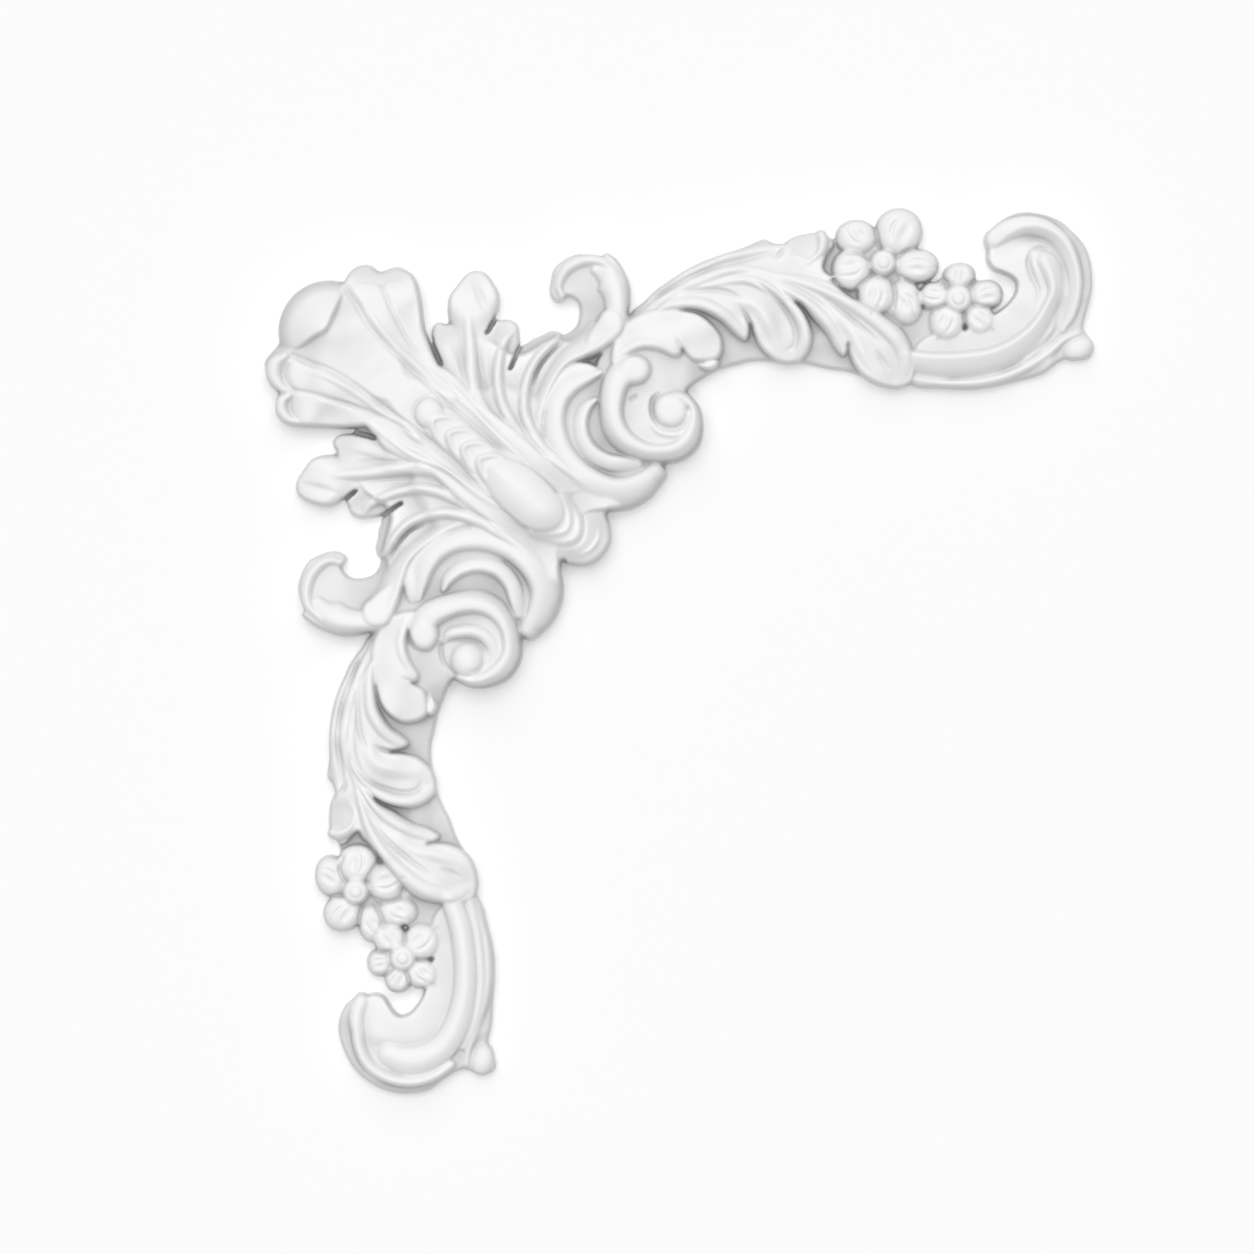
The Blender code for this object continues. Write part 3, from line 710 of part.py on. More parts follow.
# How far the left arm's hand-cut forms stand from the top arm's: pairs of the same place on both.
WARP = (
    ((-11.8, 53.9), (-10, 56)), ((-2.5, 65.2), (-1.3, 64.6)), ((4.5, 57), (4.5, 57.6)),
    ((0, 45.2), (3, 47.8)), ((-16.7, 49), (-16.5, 51.5)), ((7.5, 48.7), (8.5, 49)), ((10, 39), (9.5, 38)),
    ((14.5, 42.2), (13.9, 39.3)), ((20, 44.1), (19.7, 41)), ((23.2, 42.4), (24.5, 37.8)),
    ((29.2, 47.8), (28.3, 47.3)), ((28.5, 53.2), (26, 50.2)), ((21.1, 56.7), (19.9, 57)),
    ((31, 67.6), (32.3, 67.5)), ((40, 67.3), (38, 67)), ((46.5, 56.2), (46.9, 55)), ((20, 29.4), (22, 28)),
    ((30.4, 36), (31, 35.5)), ((39, 40), (40, 39)), ((34.5, 30), (38.5, 30)), ((32.8, 21.7), (34.4, 22.5)),
    ((23, 10), (23.5, 11)), ((29, 0), (26.7, 0)), ((38, -4), (38, -7.2)), ((31.5, 20), (34.5, 20.5)),
    ((26, 12.5), (27.5, 12)), ((31, 2.5), (31.5, 0.5)), ((36, 0), (37, -3.5)), ((44, -1.5), (46, -2)),
    ((32.7, -15.8), (30, -17.5)), ((41, -15), (41.6, -16.7)), ((52, -8), (50.2, -10.3)),
    ((53.5, -4), (52, -4.5)), ((46, 33.8), (50, 32.7)), ((50.8, 29), (55.5, 27.6)),
    ((42, 20.7), (48, 22.3)), ((40.8, 16), (44, 16)), ((46, 6.8), (48, 6)), ((51, 4.8), (52.3, 3.6)),
    ((59.7, 8.4), (61.3, 6.3)), ((33.3, 17), (36.3, 17)), ((36.8, 6.3), (38.5, 6)),
    ((45.3, -0.4), (46.4, -1.2)), ((54.4, -1.7), (56.5, -3)), ((63.7, 2.5), (64.5, 3)),
    ((66, 12), (66.8, 13)), ((56, 15.3), (58.5, 15.5)), ((44, 45), (48, 42)), ((57, 47.8), (58, 45.3)),
    ((71, 42), (75, 40.4)), ((74, 33.5), (76.8, 33.5)), ((67, 28.7), (70.4, 28.8)),
    ((62.4, 34), (64.5, 32.9)), ((50, 35.3), (51.2, 34.5)), ((42, 32.5), (44, 31.5)),
    ((46.6, 48.3), (47, 47.2)), ((59, 56.5), (60, 55.2)), ((77, 63.5), (79, 61)),
    ((91, 67.2), (91.4, 62.7)), ((99.4, 66.9), (100, 63.4)), ((108, 67.7), (109, 63.2)),
    ((113, 64.5), (113.8, 61)), ((62, 20.2), (64.5, 19)), ((72.7, 26.9), (74, 25)),
    ((83, 28.8), (83.5, 27)), ((100.5, 26.4), (101, 26.4)), ((113.8, 22.7), (114, 22.9)),
    ((119, 20.5), (120, 21.3)), ((89.8, 29.6), (92, 32.3)), ((96.7, 27.2), (97.5, 30.9)),
    ((103, 34.7), (103.4, 36.5)), ((99.7, 45.3), (100.5, 47.3)), ((82, 36.3), (82.9, 39.7)),
    ((76.5, 52.8), (78, 53.1)), ((87, 45.5), (88.7, 48)), ((131.5, 16.7), (130, 20.3)),
    ((135, 23.5), (136.9, 24.5)), ((122, 43), (125, 44.3)), ((117.5, 45.3), (119.5, 48.5)),
    ((103, 40), (103, 43.7)), ((113.5, 28.5), (115.4, 30.7)), ((161.3, 57), (162.5, 57.6)),
    ((165.7, 49.9), (166.7, 49.6)), ((169.7, 46.4), (169.1, 45.4)), ((165, 39.5), (164, 40.5)),
    ((163.5, 64), (165.1, 63)), ((174.7, 68.6), (174.2, 66.4)), ((185, 65), (186, 62.4)),
    ((194, 47), (194.7, 42.7)), ((189.7, 31), (189, 30)), ((192.6, 24), (190, 20.8)),
    ((188.6, 20.3), (187, 17.4)), ((175.3, 17), (174.7, 18.7)), ((160, 14.3), (161, 16)),
    ((143, 15.2), (145, 15.8)), ((145, 26.4), (143.3, 28.8)), ((162, 27.5), (164.6, 29.6)),
    ((173, 32.5), (175.8, 35.7)), ((178.2, 42.7), (178.7, 46)),
)


def arm(r):
    """Everything on one arm but its flowers, from the lowest form to the highest."""
    ground(r)
    body(r)
    hook(r)
    upper_leaf(r)
    side_leaf(r)
    rib_fan(r)
    fan_lobe(r)
    stem(r)
    lobe_four(r)
    outer_scroll(r)
    stem_gap(r)
    inner_scroll(r)
    end_scroll(r)
    lobe_a(r)
    lobe_b(r)
    helmet(r)
    main_volute(r)


def carve(cell):
    """The whole face, on a grid with this spacing."""
    r = Relief((-76, -199), (199, 77), cell)
    pairs = np.array(WARP, float)
    r.shifts = (pairs[:, 0], pairs[:, 1] - pairs[:, 0])
    palmette(r)
    collars(r)
    for left in (False, True):
        r.left_arm = left
        arm(r)
        flowers(r, FLOWERS_LEFT if left else FLOWERS_TOP)
    r.left_arm = False
    bead_and_husks(r)
    r.soften(max(PAINT_ROUNDING, GRID_ROUNDING * cell))
    return r


def front_face(relief):
    """The carved face as an open mesh in metres, trimmed where it meets the wall."""
    columns, rows = len(relief.x), len(relief.z)
    bm = bmesh.new()
    bmesh.ops.create_grid(bm, x_segments=columns - 1, y_segments=rows - 1, size=0.5)
    for vert in bm.verts:
        column = round((vert.co.x + 0.5) * (columns - 1))
        row = round((vert.co.y + 0.5) * (rows - 1))
        vert.co = (relief.x[column] * MM, -relief.height[row, column] * MM, relief.z[row] * MM)
    everything = bm.verts[:] + bm.edges[:] + bm.faces[:]
    bmesh.ops.bisect_plane(bm, geom=everything, plane_co=(0, 0, 0), plane_no=(0, 1, 0), clear_outer=True,
                           dist=1e-6)
    drop_islands(bm)
    return bm


def drop_islands(bm):
    """Keeps the largest connected face set, so that no crumb of the grid is left beside it."""
    seen = set()
    largest = []
    for start in bm.faces:
        if start in seen:
            continue
        found, front = [start], [start]
        seen.add(start)
        while front:
            face = front.pop()
            for edge in face.edges:
                for other in edge.link_faces:
                    if other not in seen:
                        seen.add(other)
                        found.append(other)
                        front.append(other)
        if len(found) > len(largest):
            largest = found
    kept = set(largest)
    bmesh.ops.delete(bm, geom=[face for face in bm.faces if face not in kept], context="FACES")


def thinned(bm, triangles):
    """The same face with about this many triangles, fewest where it is plain."""
    bmesh.ops.triangulate(bm, faces=bm.faces)
    ratio = triangles / len(bm.faces)
    mesh = bpy.data.meshes.new("front")
    bm.to_mesh(mesh)
    obj = bpy.data.objects.new("front", mesh)
    bpy.context.collection.objects.link(obj)
    modifier = obj.modifiers.new("thin", "DECIMATE")
    modifier.ratio = ratio
    evaluated = obj.evaluated_get(bpy.context.evaluated_depsgraph_get())
    bm.clear()
    bm.from_mesh(evaluated.data)
    bpy.data.objects.remove(obj)


def close_back(bm):
    """Sets the rim flat on the wall and fills the back."""
    rim = [edge for edge in bm.edges if edge.is_boundary]
    for edge in rim:
        for vert in edge.verts:
            vert.co.y = 0
    bmesh.ops.triangle_fill(bm, edges=rim, use_beauty=True, normal=(0, 1, 0))
    bmesh.ops.recalc_face_normals(bm, faces=bm.faces)


def white_casting():
    """The satin white of the casting."""
    material = bpy.data.materials.new("white_casting")
    material.use_nodes = True
    shader = next(node for node in material.node_tree.nodes if node.type == "BSDF_PRINCIPLED")
    shader.inputs["Base Color"].default_value = WHITE
    shader.inputs["Roughness"].default_value = SATIN
    shader.inputs["Metallic"].default_value = 0
    return material


def build():
    """The casting as one closed solid."""
    bm = front_face(carve(CELL))
    thinned(bm, FRONT_TRIANGLES)
    close_back(bm)
    for face in bm.faces:
        face.smooth = True
    mesh = bpy.data.meshes.new(NAME)
    bm.to_mesh(mesh)
    bm.free()
    mesh.materials.append(white_casting())
    obj = bpy.data.objects.new(NAME, mesh)
    bpy.context.collection.objects.link(obj)


for leftover in list(bpy.data.objects):
    bpy.data.objects.remove(leftover)
build()
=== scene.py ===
"""A corner applique cast in one piece and painted satin white, hung flat on a pale wall.

The carved face is worked out as heights above the wall on a fine grid. The same forms, at a coarser
grid, are the CAD solid, so this piece keeps its outline and its depths.
"""

import math

import bmesh
import bpy
import numpy as np
from mathutils import Euler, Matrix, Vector


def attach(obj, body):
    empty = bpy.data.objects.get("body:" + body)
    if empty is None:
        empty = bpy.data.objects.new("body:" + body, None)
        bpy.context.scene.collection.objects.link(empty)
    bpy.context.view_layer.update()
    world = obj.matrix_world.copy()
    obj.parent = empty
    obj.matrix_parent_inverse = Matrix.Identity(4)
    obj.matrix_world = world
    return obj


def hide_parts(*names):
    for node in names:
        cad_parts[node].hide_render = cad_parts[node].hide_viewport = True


NODE = "corner_applique"
MM = 0.001
CELL = 0.4
FRONT_TRIANGLES = 186000

PICTURE_PIXELS = 1254
PIXEL = 0.32 * MM
ORIGIN_IN_PICTURE = (500, 474)
TURN = math.radians(5)
CAMERA_AWAY = 3.0
SENSOR_MM = 36.0
CAMERA_SEES = 20

# Painted shade: a per-point attribute greys the paint in the hollows and leaves the crests whiter, standing
# in for the shade the carving casts.
PAINTED_SHADE_ATTRIBUTE = "hollow"
LEVEL_TONE = 0.14
PAINTED_SHADE_SCALES = ((1.0, 8.0), (3.5, 7.5), (8.0, 12.0))
RIM_FADE = (0.55, 0.35)
PAINT_WHITE = (0.87, 0.87, 0.87, 1)
# The grey that the painted shade reaches in the deepest hollows.
PAINTED_SHADE_GREY = (0.50, 0.50, 0.50, 1)
CLOUDS_PER_METRE = 45.0
CLOUD_DETAIL = 3.0
GRAIN_PER_METRE = 420.0
GRAIN_DETAIL = 4.0
MOTTLE = 0.06
BRUSH_STRENGTH = 0.12
BRUSH_DEPTH = 0.3 * MM
CLOUD_SHARE = 0.7
GRAIN_SHARE = 0.3
SATIN = 0.42
GRAIN_IN_SATIN = 0.14
DULLER_IN_HOLLOWS = 0.2
PAINT_SHINE = 0.35
WALL_WHITE = (0.97, 0.97, 0.97, 1)
WALL_ROUGHNESS = 0.9
WALL_SIDE = 6.0
WALL_GAP = 0.2 * MM
TRIM_GAP = 0.001 * MM
FRONT_TOWARDS = (0.05, 1, -0.12)
FRONT_STRENGTH = 1.75
FRONT_SOFTNESS = 50
TOP_TOWARDS = (0.02, 1, -0.75)
TOP_STRENGTH = 0.7
TOP_SOFTNESS = 60
BACK_TOWARDS = (0, -1, 0)
BACK_STRENGTH = 0.5
BACK_SOFTNESS = 5
ROOM_STRENGTH = 0.27


ROUND = (2.0, 0.5)
ARCH = (2.0, 0.8)
FULL = (3.0, 0.7)
SOFT = (2.0, 1.0)
SLOPE = (1.3, 1.0)
COVE = (1.0, 1.7)
BELL = (2.0, 2.0)
TUBE = (2.6, 0.7)
CUSHION = (3.0, 0.8)
FLAT = (5.5, 0.8)
FALL = (2.4, 0.9)

WALL_SLOPE = 16.0
OUTSIDE = -6.0
REACH = 2.0
SAMPLE = 0.8
WARP_REACH = 7.0
THINNEST = 0.3
PAINT_ROUNDING = 0.3
GRID_ROUNDING = 0.6
TINY = 1e-9
LEAST_WIDTH = 0.05
LEAST_COVER = 0.05
FAR = 1e9
SHORTEST_STEP = 1e-6


def spline(knots, t):
    """Values at t, from 0 to 1, on a smooth curve through evenly spaced knots."""
    knots = np.atleast_1d(np.asarray(knots, float))
    if len(knots) == 1:
        return np.full(np.shape(t) + knots.shape[1:], knots[0])
    ends = np.concatenate([[2 * knots[0] - knots[1]], knots, [2 * knots[-1] - knots[-2]]])
    place = np.clip(np.asarray(t, float), 0, 1) * (len(knots) - 1)
    first = np.minimum(place.astype(int), len(knots) - 2)
    u = place - first
    if knots.ndim > 1:
        u = u[..., None]
    a, b, c, d = (ends[first + k] for k in range(4))
    return 0.5 * (2 * b + (c - a) * u + (2 * a - 5 * b + 4 * c - d) * u**2 + (3 * b - 3 * c + d - a) * u**3)


def flank(share, shape):
    """How much of its height a form keeps at a share of its width: 1 at the crest, 0 at the foot."""
    power, lift = shape
    return np.clip(1 - np.clip(share, 0, 1) ** power, 0, 1) ** lift


def blurred(values, cell, radius):
    """Grid values smoothed over a radius. cell is the spacing of the grid."""
    reach = int(3 * radius / cell) + 1
    weights = np.exp(-0.5 * (np.arange(-reach, reach + 1) * cell / radius) ** 2)
    weights /= weights.sum()
    for axis in (0, 1):
        ends = [(reach, reach) if side == axis else (0, 0) for side in (0, 1)]
        padded = np.pad(values, ends, mode="edge")
        size = values.shape[axis]
        values = sum(
            weight * np.take(padded, range(k, k + size), axis=axis) for k, weight in enumerate(weights)
        )
    return values


class Relief:
    """A carved surface: its height above the wall on a grid of X and Z, in millimetres."""

    def __init__(self, low, high, cell):
        self.x = np.arange(low[0], high[0] + cell, cell)
        self.z = np.arange(low[1], high[1] + cell, cell)
        self.cell = cell
        self.height = np.full((len(self.z), len(self.x)), OUTSIDE)
        self.left_arm = False
        self.shifted = True
        self.shifts = None

    def placed(self, points):
        """Points of the top arm's drawing, brought to the arm that is being carved."""
        points = np.asarray(points, float)
        if not self.left_arm:
            return points
        flat = points.reshape(-1, 2)
        if self.shifted:
            marks, moves = self.shifts
            gap = np.square(flat[:, None] - marks[None]).sum(axis=2)
            weight = np.exp(-gap / (2 * WARP_REACH**2)) + TINY
            flat = flat + (weight[..., None] * moves).sum(axis=1) / weight.sum(axis=1)[:, None]
        return -flat[:, ::-1].reshape(points.shape)

    def window(self, low, high):
        """The part of the grid between two corners, and its X and Z."""
        rows = slice(*np.searchsorted(self.z, (low[1], high[1])))
        cols = slice(*np.searchsorted(self.x, (low[0], high[0])))
        return (rows, cols), *np.meshgrid(self.x[cols], self.z[rows])

    def lay(self, part, height, blend):
        """Lays a form over what is there, with a fillet where the two meet."""
        below = self.height[part]
        near = np.clip(blend - np.abs(below - height), 0, None)
        self.height[part] = np.maximum(below, height) + near**2 / (4 * blend)

    def wall(self, part, foot):
        """How wide the steep wall is that climbs from what is there to a foot."""
        return np.clip(foot - np.clip(self.height[part], 0, None), 0, None) / WALL_SLOPE

    def near(self, line, reach):
        """For grid points near a line: the distance, the side (1 left, -1 right) and the place along it."""
        part, x, z = self.window(line.min(axis=0) - reach, line.max(axis=0) + reach)
        best = np.full(x.shape, FAR)
        side = np.zeros(x.shape)
        place = np.zeros(x.shape)
        for k, (start, end) in enumerate(zip(line[:-1], line[1:])):
            step = end - start
            size = math.hypot(*step)
            if size < SHORTEST_STEP:
                continue
            dx, dz = x - start[0], z - start[1]
            u = np.clip((dx * step[0] + dz * step[1]) / size**2, 0, 1)
            px, pz = dx - u * step[0], dz - u * step[1]
            away = np.hypot(px, pz)
            closer = away < best
            turn = (step[0] * pz - step[1] * px) / (size * np.maximum(away, TINY))
            best = np.where(closer, away, best)
            side = np.where(closer, turn, side)
            place = np.where(closer, (k + u) / (len(line) - 1), place)
        return part, best, -side if self.left_arm else side, place

    def along(self, path, reach):
        """The grid near a smooth curve through the points of a path."""
        path = self.placed(path)
        rough = spline(path, np.linspace(0, 1, 8 * len(path)))
        length = np.hypot(*np.diff(rough, axis=0).T).sum()
        return self.near(spline(path, np.linspace(0, 1, max(6, int(length / SAMPLE)))), reach)

    def crest(self, path, left, right, top, feet=(4, 4), flanks=(ROUND, ROUND), blend=0.5):
        """A form that runs along a path: its crest is on the path, and each side falls to its own foot."""
        part, away, side, place = self.along(path, max(np.max(left), np.max(right)) + REACH)
        lean = (1 + side) / 2
        foot = spline(feet[1], place) * (1 - lean) + spline(feet[0], place) * lean
        width = spline(right, place) * (1 - lean) + spline(left, place) * lean
        width = np.maximum(width - self.wall(part, foot), THINNEST)
        share = away / width
        keep = flank(share, flanks[1]) * (1 - lean) + flank(share, flanks[0]) * lean
        height = foot + (spline(top, place) - foot) * keep - WALL_SLOPE * np.clip(away - width, 0, None)
        self.lay(part, height, blend)

    def cut(self, path, width, depth, shape=BELL, floor=3.0):
        """A channel along a path, which sinks what is there and never goes under floor."""
        part, away, _, place = self.along(path, np.max(width) + REACH)
        below = self.height[part]
        share = away / np.maximum(spline(width, place), LEAST_WIDTH)
        sunk = below - spline(depth, place) * flank(share, shape)
        self.height[part] = np.where(below > floor, np.maximum(sunk, floor), below)

    def swell(self, path, width, rise, shape=BELL):
        """A soft ridge along a path, which lifts what is there."""
        part, away, _, place = self.along(path, np.max(width) + REACH)
        below = self.height[part]
        share = away / np.maximum(spline(width, place), LEAST_WIDTH)
        lift = spline(rise, place) * flank(share, shape)
        self.height[part] = np.where(below > 1, below + lift, below)

    def inside(self, outline):
        """The grid near a closed outline, and how far in each point lies from it (negative outside)."""
        outline = self.placed(outline)
        closed = np.concatenate([outline[-1:], outline, outline[:2]])
        t = np.linspace(1, len(outline) + 1, 10 * len(outline), endpoint=False) / (len(closed) - 1)
        line = spline(closed, t)
        line = np.concatenate([line, line[:1]])
        part, away, _, _ = self.near(line, 1.0)
        x, z = np.meshgrid(self.x[part[1]], self.z[part[0]])
        within = np.zeros(x.shape, bool)
        for (x0, z0), (x1, z1) in zip(line[:-1], line[1:]):
            if z0 != z1:
                crossed = (z0 > z) != (z1 > z)
                within ^= crossed & (x < x0 + (z - z0) * (x1 - x0) / (z1 - z0))
        return part, x, z, np.where(within, away, -away)

    def surface(self, x, z, marks, reach):
        """A smooth surface near the marks (x, z, height)."""
        marks = np.asarray(marks, float)
        places = self.placed(marks[:, :2])
        gap = (x[..., None] - places[:, 0]) ** 2 + (z[..., None] - places[:, 1]) ** 2
        weight = np.exp(-gap / (2 * reach**2)) + TINY
        return (weight * marks[:, 2]).sum(axis=-1) / weight.sum(axis=-1)

    def sheet(self, outline, marks, edge, foot, shape=ROUND, blend=0.5, reach=9.0):
        """A form inside an outline. Its top passes near the marks, and rounds off at the edge to a foot,
        which is a height, or below zero a drop from the top."""
        part, x, z, depth = self.inside(outline)
        top = self.surface(x, z, marks, reach)
        foot = top + foot if foot < 0 else foot
        keep = flank(1 - np.clip(depth - self.wall(part, foot), 0, edge) / edge, shape)
        below = np.clip(self.height[part], 0, None)
        self.lay(part, np.minimum(below + WALL_SLOPE * depth, foot + (top - foot) * keep), blend)

    def scoop(self, outline, marks, edge, reach=9.0):
        """A hollow inside an outline. Its floor passes near the marks, and rises to what is at the edge."""
        part, x, z, depth = self.inside(outline)
        share = np.clip(depth / edge, 0, 1)
        keep = share * share * (3 - 2 * share)
        below = self.height[part]
        floor = np.minimum(below, self.surface(x, z, marks, reach))
        self.height[part] = below * (1 - keep) + floor * keep

    def dome(self, centre, radii, turn, top, foot, shape=ROUND, square=2.0, blend=0.4):
        """An oval form. turn is the angle of its first radius; square above 2 makes its outline fuller."""
        first = np.array([math.cos(math.radians(turn)), math.sin(math.radians(turn))])
        second = np.array([-first[1], first[0]])
        if self.left_arm:
            first, second = -first[::-1], -second[::-1]
        centre = self.placed(centre)
        reach = max(radii) + REACH
        part, x, z = self.window(centre - reach, centre + reach)
        dx, dz = x - centre[0], z - centre[1]
        u, v = dx * first[0] + dz * first[1], dx * second[0] + dz * second[1]
        wall = self.wall(part, foot)
        across, along = np.abs(u / (radii[0] - wall)), np.abs(v / (radii[1] - wall))
        share = (across**square + along**square) ** (1 / square)
        height = foot + (top - foot) * flank(share, shape)
        height -= WALL_SLOPE * np.clip(share - 1, 0, None) * min(radii)
        self.lay(part, height, blend)

    def slit(self, path, width):
        """A gap that goes nearly down to the wall."""
        self.cut(path, width, (22,), FULL, floor=0.7)

    def soften(self, radius):
        """Rounds the whole surface, as a coat of paint does."""
        self.height = blurred(self.height, self.cell, radius)

    def hollows(self):
        """Painted shade per point, from how sunk it is below what is round it: 0 on crests to 1 in deep
        gaps.
        """
        here = (self.height > 0.5).astype(float)
        height = np.clip(self.height, 0, None) * here
        # Level ground starts with a little painted shade; sunk points get more and raised points less, so
        # crests are painted lighter.
        tone = np.full(height.shape, LEVEL_TONE)
        for radius, drop in PAINTED_SHADE_SCALES:
            cover = np.maximum(blurred(here, self.cell, radius), LEAST_COVER)
            tone += (blurred(height, self.cell, radius) / cover - height) / drop
        # Near the outline the painted shade fades back to the level amount.
        inward = np.clip((blurred(here, self.cell, 1.0) - RIM_FADE[0]) / RIM_FADE[1], 0, 1)
        return np.clip(LEVEL_TONE + (tone - LEVEL_TONE) * inward, 0, 1)


def across(path):
    """A path of the palmette on the other side of the diagonal."""
    return [(-z, -x) for x, z in path]


def palmette(r):
    """The shell at the outer corner: a flute with a curled lip, and two fluted lobes on each side of it."""
    r.sheet([(-36, 14.6), (-39, 17.8), (-50, 18.7), (-63.4, 20.7), (-67.9, 23.8), (-69.4, 28),
             (-68.8, 31.4), (-67.4, 32.6), (-70, 35), (-71.9, 40), (-71.3, 43.2), (-66.7, 47.8),
             (-66.4, 50), (-65.3, 55.2), (-62.9, 59.8), (-60.5, 61.9), (-52.6, 65.6), (-47, 65.3),
             (-45, 65), (-42.2, 68.6), (-39.2, 70.3), (-35.5, 70.2), (-32.5, 67.9), (-29, 68.7),
             (-26, 68.6), (-21.7, 65.2), (-20, 58), (-19.7, 50), (-19, 46), (-15.7, 36.3), (-8, 24), (4, 8),
             (-8, -4), (-24, 8)],
            [(-62, 62, 5), (-54, 65, 6), (-65, 54, 6), (-46, 46, 15.6), (-36, 36, 15.2), (-25, 25, 14.8),
             (-12, 12, 13.8), (-37, 69, 7.6), (-71, 39, 7.4), (-38, 62, 13), (-62, 38, 12.6),
             (-28, 68, 7.6), (-68, 27, 8), (-28, 61, 12.6), (-61, 28, 12.2), (-33, 50, 14.4),
             (-50, 33, 14.4), (-22, 50, 11), (-50, 20.4, 10.2), (-26, 48, 12.8), (-46, 25.5, 12.8),
             (-20, 38, 11.8), (-38, 18.6, 11.8)], 1.3, -1.7, SOFT, reach=3.6)
    r.dome((-50.3, 50.2), (16.4, 16.4), 0, 19, 6.5, SOFT)
    side = [(-43.4, 63.4), (-40.6, 58), (-37.2, 50.7), (-31.7, 42.9), (-26.4, 36.8), (-20, 29.6), (-12, 21)]
    lip = [(-62, 45.6), (-59.4, 46.4), (-54.8, 49), (-51.2, 50.6), (-48.8, 54.6), (-46.4, 59.4), (-45, 62.8)]
    r.scoop([*lip, *side, *across(side[::-1])],
            [(-50, 50, 16.2), (-46, 57.6, 12.6), (-57.6, 46, 12.6), (-44.4, 61, 10.6), (-61, 44.4, 10.6),
             (-44, 51, 13.8), (-51, 44, 13.8), (-43, 43, 13.6), (-36, 36, 13.8), (-25, 25, 14),
             (-16, 16, 13.8)], 0.9, reach=3.4)
    rib = [(-38.6, 60), (-35, 51.6), (-29.8, 44), (-24.6, 38), (-18.2, 31), (-11, 22.6)]
    flute = [(-32.2, 63), (-30, 55.6), (-27.6, 49.6), (-24.8, 43.6), (-20.6, 37.6)]
    rim = [(-42.4, 62.8), (-40.6, 64.4), (-36.4, 64.5), (-33, 63.6), (-32, 62.6), (-31, 63.8),
           (-27.6, 64.4), (-24, 63.6)]
    for drawn in (list, across):
        r.cut(drawn(side), (1.6, 1.5, 1.2, 1.0, 1.0, 0.9), (1.2, 1.5, 1.3, 1.1, 1.1, 0.9))
        r.swell(drawn(rib), (1.1, 1.5, 1.4, 1.1), (0, 0.8, 0.8, 0))
        r.cut(drawn(flute), (0.9, 1.2, 1.0, 0.7), (0.6, 0.9, 0.8, 0))
        r.cut(drawn(rim), (0.8, 0.9, 0.9, 0.8), (0.2, 0.5, 0.6, 0))
    r.swell([(-21.2, 62), (-21.2, 54), (-20.8, 46)], (1.1, 1.2, 1), (0, 0.7, 0))
    r.crest([(-64.6, 43.4), (-68, 41.4), (-69, 37.6), (-67.4, 33.8), (-64.4, 31.6)],
            (1.2, 2.2, 2.6, 2.2, 1), (1, 2.4, 2.8, 2, 0.8), (13, 12.6, 12.2, 11.8, 11.4),
            ((11, 9.6, 9, 9.6, 10.6), (10, 7, 7, 7.6, 9)))
    r.crest([(-64, 31), (-67, 29.4), (-67.6, 26), (-65.4, 23), (-61, 21.6)], (1, 1.8, 2.2, 1.8, 1),
            (0.8, 1.8, 2.2, 1.8, 0.8), (11.4, 11.8, 11.6, 11.2, 10.8),
            ((10.6, 9.4, 8.8, 9.4, 10.2), (9, 7, 7, 7.6, 9)))
    r.cut([(-62.8, 41.4), (-65.4, 39), (-65.8, 36), (-64, 32.4)], (0.8, 1.2, 1.2, 0.8),
            (0.3, 1.1, 1.1, 0.3))
    r.cut([(-63.4, 30.6), (-64.8, 28), (-64.6, 25), (-62.6, 22.6)], (0.8, 1.1, 1.1, 0.8),
            (0.3, 0.9, 0.9, 0.3))
    r.cut([(-60, 29.4), (-50.4, 27.7), (-43, 24.8), (-36.5, 21.4), (-30, 17.5), (-23, 12.5)],
            (0.7, 1.1, 1.1, 0.7), (0, 1, 0.9, 0))
    r.cut([(-42, 22), (-36, 18.6), (-28, 13.6), (-21, 9)], (0.6, 0.9, 0.9, 0.6), (0, 0.7, 0.7, 0))


HUSKS = ((-20.7, 19.2, 17), (-15.8, 14.6, 17.6), (-11.5, 10, 18.2), (-6.9, 5.6, 18.8))


